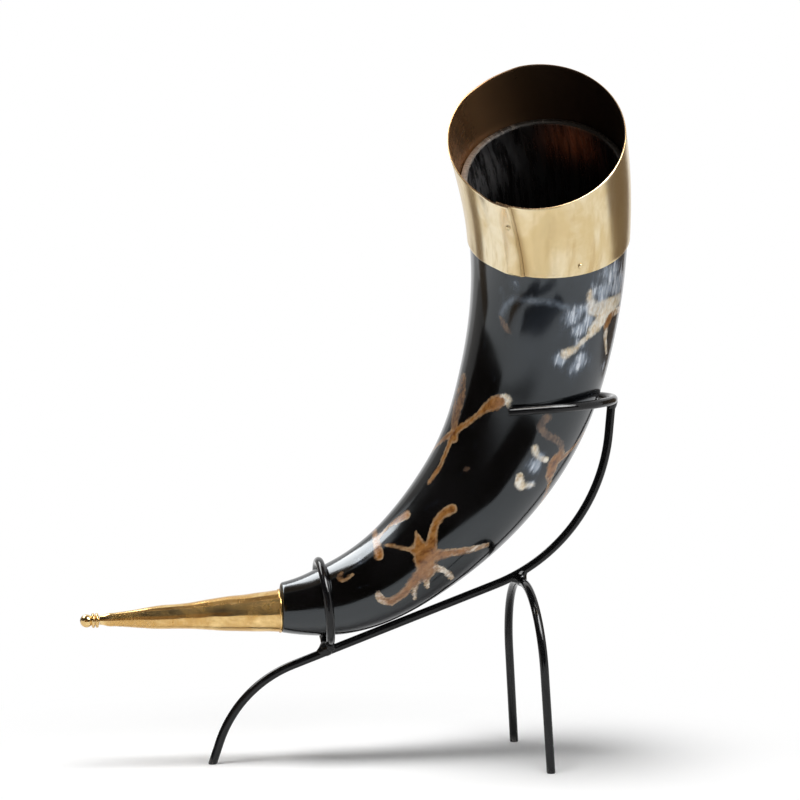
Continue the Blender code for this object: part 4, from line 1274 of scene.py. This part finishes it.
def brass(name, brush, cloud, bright, aged, polish, rough):
    """Brass: fine lines in the way it was brushed, tarnish from bright to aged, runs and specks, a painted
    highlight, and a lining painted lit on one side and in painted shade elsewhere.
    """
    f = Finish(name)
    lines = f.grain(*brush, detail=4, roughness=0.7)
    tarnish = f.grain(*cloud, detail=4, distortion=0.4)
    runs = f.grain(0.25, 2.2, detail=3)
    specks = f.grain(16, 16, detail=2)
    inner = f.value("inner")
    # Painted highlight: the collar's brass is made paler beside the seam
    tarnish = f.plus(tarnish, f.times(f.value("wear_and_highlight"), -0.2))
    colour = f.mix(f.span(tarnish, 0.26, 0.58), bright, aged)
    joint = f.times(f.value("joint"), f.span(tarnish, 0.30, 0.60, 0.4, 0.8))
    for share, stain in (
        (f.span(runs, 0.54, 0.72, 0.0, 0.45), (0.50, 0.33, 0.13)),
        (f.span(lines, 0.35, 0.75, 0.0, 0.20), (0.84, 0.70, 0.46)),
        (f.span(specks, 0.74, 0.80, 0, 0.6), (0.36, 0.22, 0.09)),
        (joint, (0.34, 0.21, 0.080)),
        # Lining: painted lit amber on one side, and near black painted shade elsewhere
        (f.span(inner, 0.0, 0.5), (0.37, 0.20, 0.090)),
        (f.span(inner, 0.5, 1.0), (0.022, 0.012, 0.006)),
    ):
        colour = f.mix(share, colour, stain)
    gloss = f.plus(f.span(tarnish, 0.3, 0.75, rough, rough + 0.09, "LINEAR"), f.times(lines, 0.08))
    gloss = f.plus(gloss, f.times(inner, 0.12))
    metal = f.times(f.span(tarnish, 0.30, 0.66, 1.0, polish), f.span(inner, 0, 1, 1.0, 0.7))
    brushed = f.bump(lines, f.span(inner, 0.0, 0.3, 0.05, 0.0), 0.0002)
    return f.shade(Base_Color=colour, Metallic=metal, Roughness=gloss, Normal=brushed)


def black_paint():
    """Gloss black paint on rod: slight orange peel, thin dust, and paint rubbed off at the feet."""
    f = Finish("black_paint")
    peel = f.grain(14, 14, detail=2)
    dust = f.grain(1.5, 6, detail=5, roughness=0.65)
    colour = f.mix(f.span(dust, 0.45, 0.75), (0.004, 0.004, 0.0045), (0.011, 0.011, 0.012))
    height = f.node("SeparateXYZ", {0: f.node("TexCoord", {}, "Object")}, "Z")
    # Real wear: paint rubbed off at the feet
    wear_and_highlight = f.times(f.span(height, *WORN_FOOT), f.span(dust, 0.40, 0.60))
    colour = f.mix(wear_and_highlight, colour, (0.10, 0.095, 0.09))
    rough = f.plus(f.span(dust, 0.35, 0.75, 0.05, 0.11, "LINEAR"), f.times(wear_and_highlight, 0.25))
    relief = f.bump(peel, 0.05, 0.0003)
    return f.shade(Base_Color=colour, Roughness=rough, Normal=relief, Specular_IOR_Level=0.32)


# Studio

def make_sheet(name, corners, finish):
    """Flat face of the stage."""
    mesh = bpy.data.meshes.new(name)
    mesh.from_pydata(corners, [], [range(len(corners))])
    mesh.materials.append(finish)
    sheet = link(name, mesh)
    return sheet


def make_floor():
    """Pale floor that keeps the object's shadow and fades to white away from it."""
    f = Finish("floor")
    rays = f.background_rays()
    far = f.node("VectorMath", {0: f.node("TexCoord", {}, "Object")}, "Value", operation="LENGTH")
    fade = f.times(f.span(far, *SHADOW_KEPT), rays)
    soft = f.node("TexNoise", {"Scale": 3.0, "Detail": 2.0})
    colour = f.mix(soft, (0.92, 0.92, 0.92), (0.94, 0.94, 0.94))
    f.shade(Base_Color=colour, Roughness=0.9, Specular_IOR_Level=0.0)
    f.shade(Emission_Color=WHITE, Emission_Strength=f.times(rays, FLOOR_LIFT))
    white = f.node("Emission", {"Color": WHITE, "Strength": 1.0})
    f.surface(f.node("MixShader", {0: fade, 1: f.shader.outputs[0], 2: white}))
    corners = [(x * FLOOR_SIZE, y * FLOOR_SIZE, -FLOOR_DROP) for x, y in ((-1, -1), (1, -1), (1, 1), (-1, 1))]
    make_sheet("floor", corners, f.material)


def make_flag(name, shade, corners):
    """Flat dim screen that shows only in reflections."""
    f = Finish(name)
    f.surface(f.node("Emission", {"Color": shade, "Strength": 1.0}))
    flag = make_sheet(name, [Vector(corner) + CENTRE for corner in corners], f.material)
    flag.visible_camera = flag.visible_diffuse = flag.visible_shadow = False


def make_flags():
    for name, y, shade, outline in FRONT_SCREENS:
        make_flag(name, shade, [(x, y, z) for x, z in outline])
    for name, shade, one, other, low, high in SIDE_SCREENS:
        make_flag(name, shade, [(*one, low), (*one, high), (*other, high), (*other, low)])
    make_flag("flag_top", TAWNY, TOP_SCREEN)


def make_lamp(name, place, size, power, gloss_only):
    """Area lamp that either lights dull surfaces or only shows in gloss."""
    data = bpy.data.lights.new(name, "AREA")
    data.shape = "RECTANGLE"
    data.size, data.size_y = size
    data.energy = power
    lamp = link(name, data)
    lamp.location = place
    lamp.rotation_euler = (LAMP_TARGET - Vector(place)).to_track_quat("-Z", "Y").to_euler()
    lamp.visible_glossy = gloss_only
    lamp.visible_diffuse = not gloss_only


def make_world():
    """White where it shows, and a dim even fill as light."""
    world = bpy.data.worlds.new("studio")
    nodes = Nodes(world)
    fill, shown = [nodes.node("Background", {"Color": WHITE, "Strength": level}) for level in (FILL, 1.0)]
    nodes.surface(nodes.node("MixShader", {0: nodes.background_rays(), 1: fill, 2: shown}))
    bpy.context.scene.world = world


def make_camera():
    azimuth, elevation = math.radians(CAMERA_AZIMUTH), math.radians(CAMERA_ELEVATION)
    level = Vector((math.sin(azimuth), -math.cos(azimuth), 0))
    back = level * math.cos(elevation) + UP * math.sin(elevation)
    data = bpy.data.cameras.new("camera")
    data.lens = CAMERA_LENS
    data.clip_start, data.clip_end = 0.01, 50
    camera = link("camera", data)
    camera.location = TARGET + back * CAMERA_DISTANCE
    camera.rotation_euler = (-back).to_track_quat("-Z", "Y").to_euler()
    bpy.context.scene.camera = camera


make_camera()
horn = HornForm()
make_horn(horn, dyed_horn(), cut_horn(), horn_inside())
band_brass = brass(
    "band_brass", brush=(26, 1.2), cloud=(0.25, 0.7), bright=(0.84, 0.735, 0.52), aged=(0.69, 0.530, 0.275),
    polish=0.95, rough=0.13,
)
turned_brass = brass(
    "turned_brass", brush=(20, 2.5), cloud=(0.8, 0.8), bright=(0.84, 0.63, 0.300), aged=(0.60, 0.350, 0.100),
    polish=0.70, rough=0.06,
)
make_collar(horn, band_brass)
make_fixings(horn, band_brass)
make_ferrule(horn, turned_brass)
make_finial(horn, turned_brass)
make_stand(horn, black_paint())

make_floor()
make_world()
make_flags()
for lamp in DULL_LAMPS:
    make_lamp(*lamp, gloss_only=False)
for lamp in GLOSS_LAMPS:
    make_lamp(*lamp, gloss_only=True)

bpy.context.scene.view_settings.view_transform = "Standard"
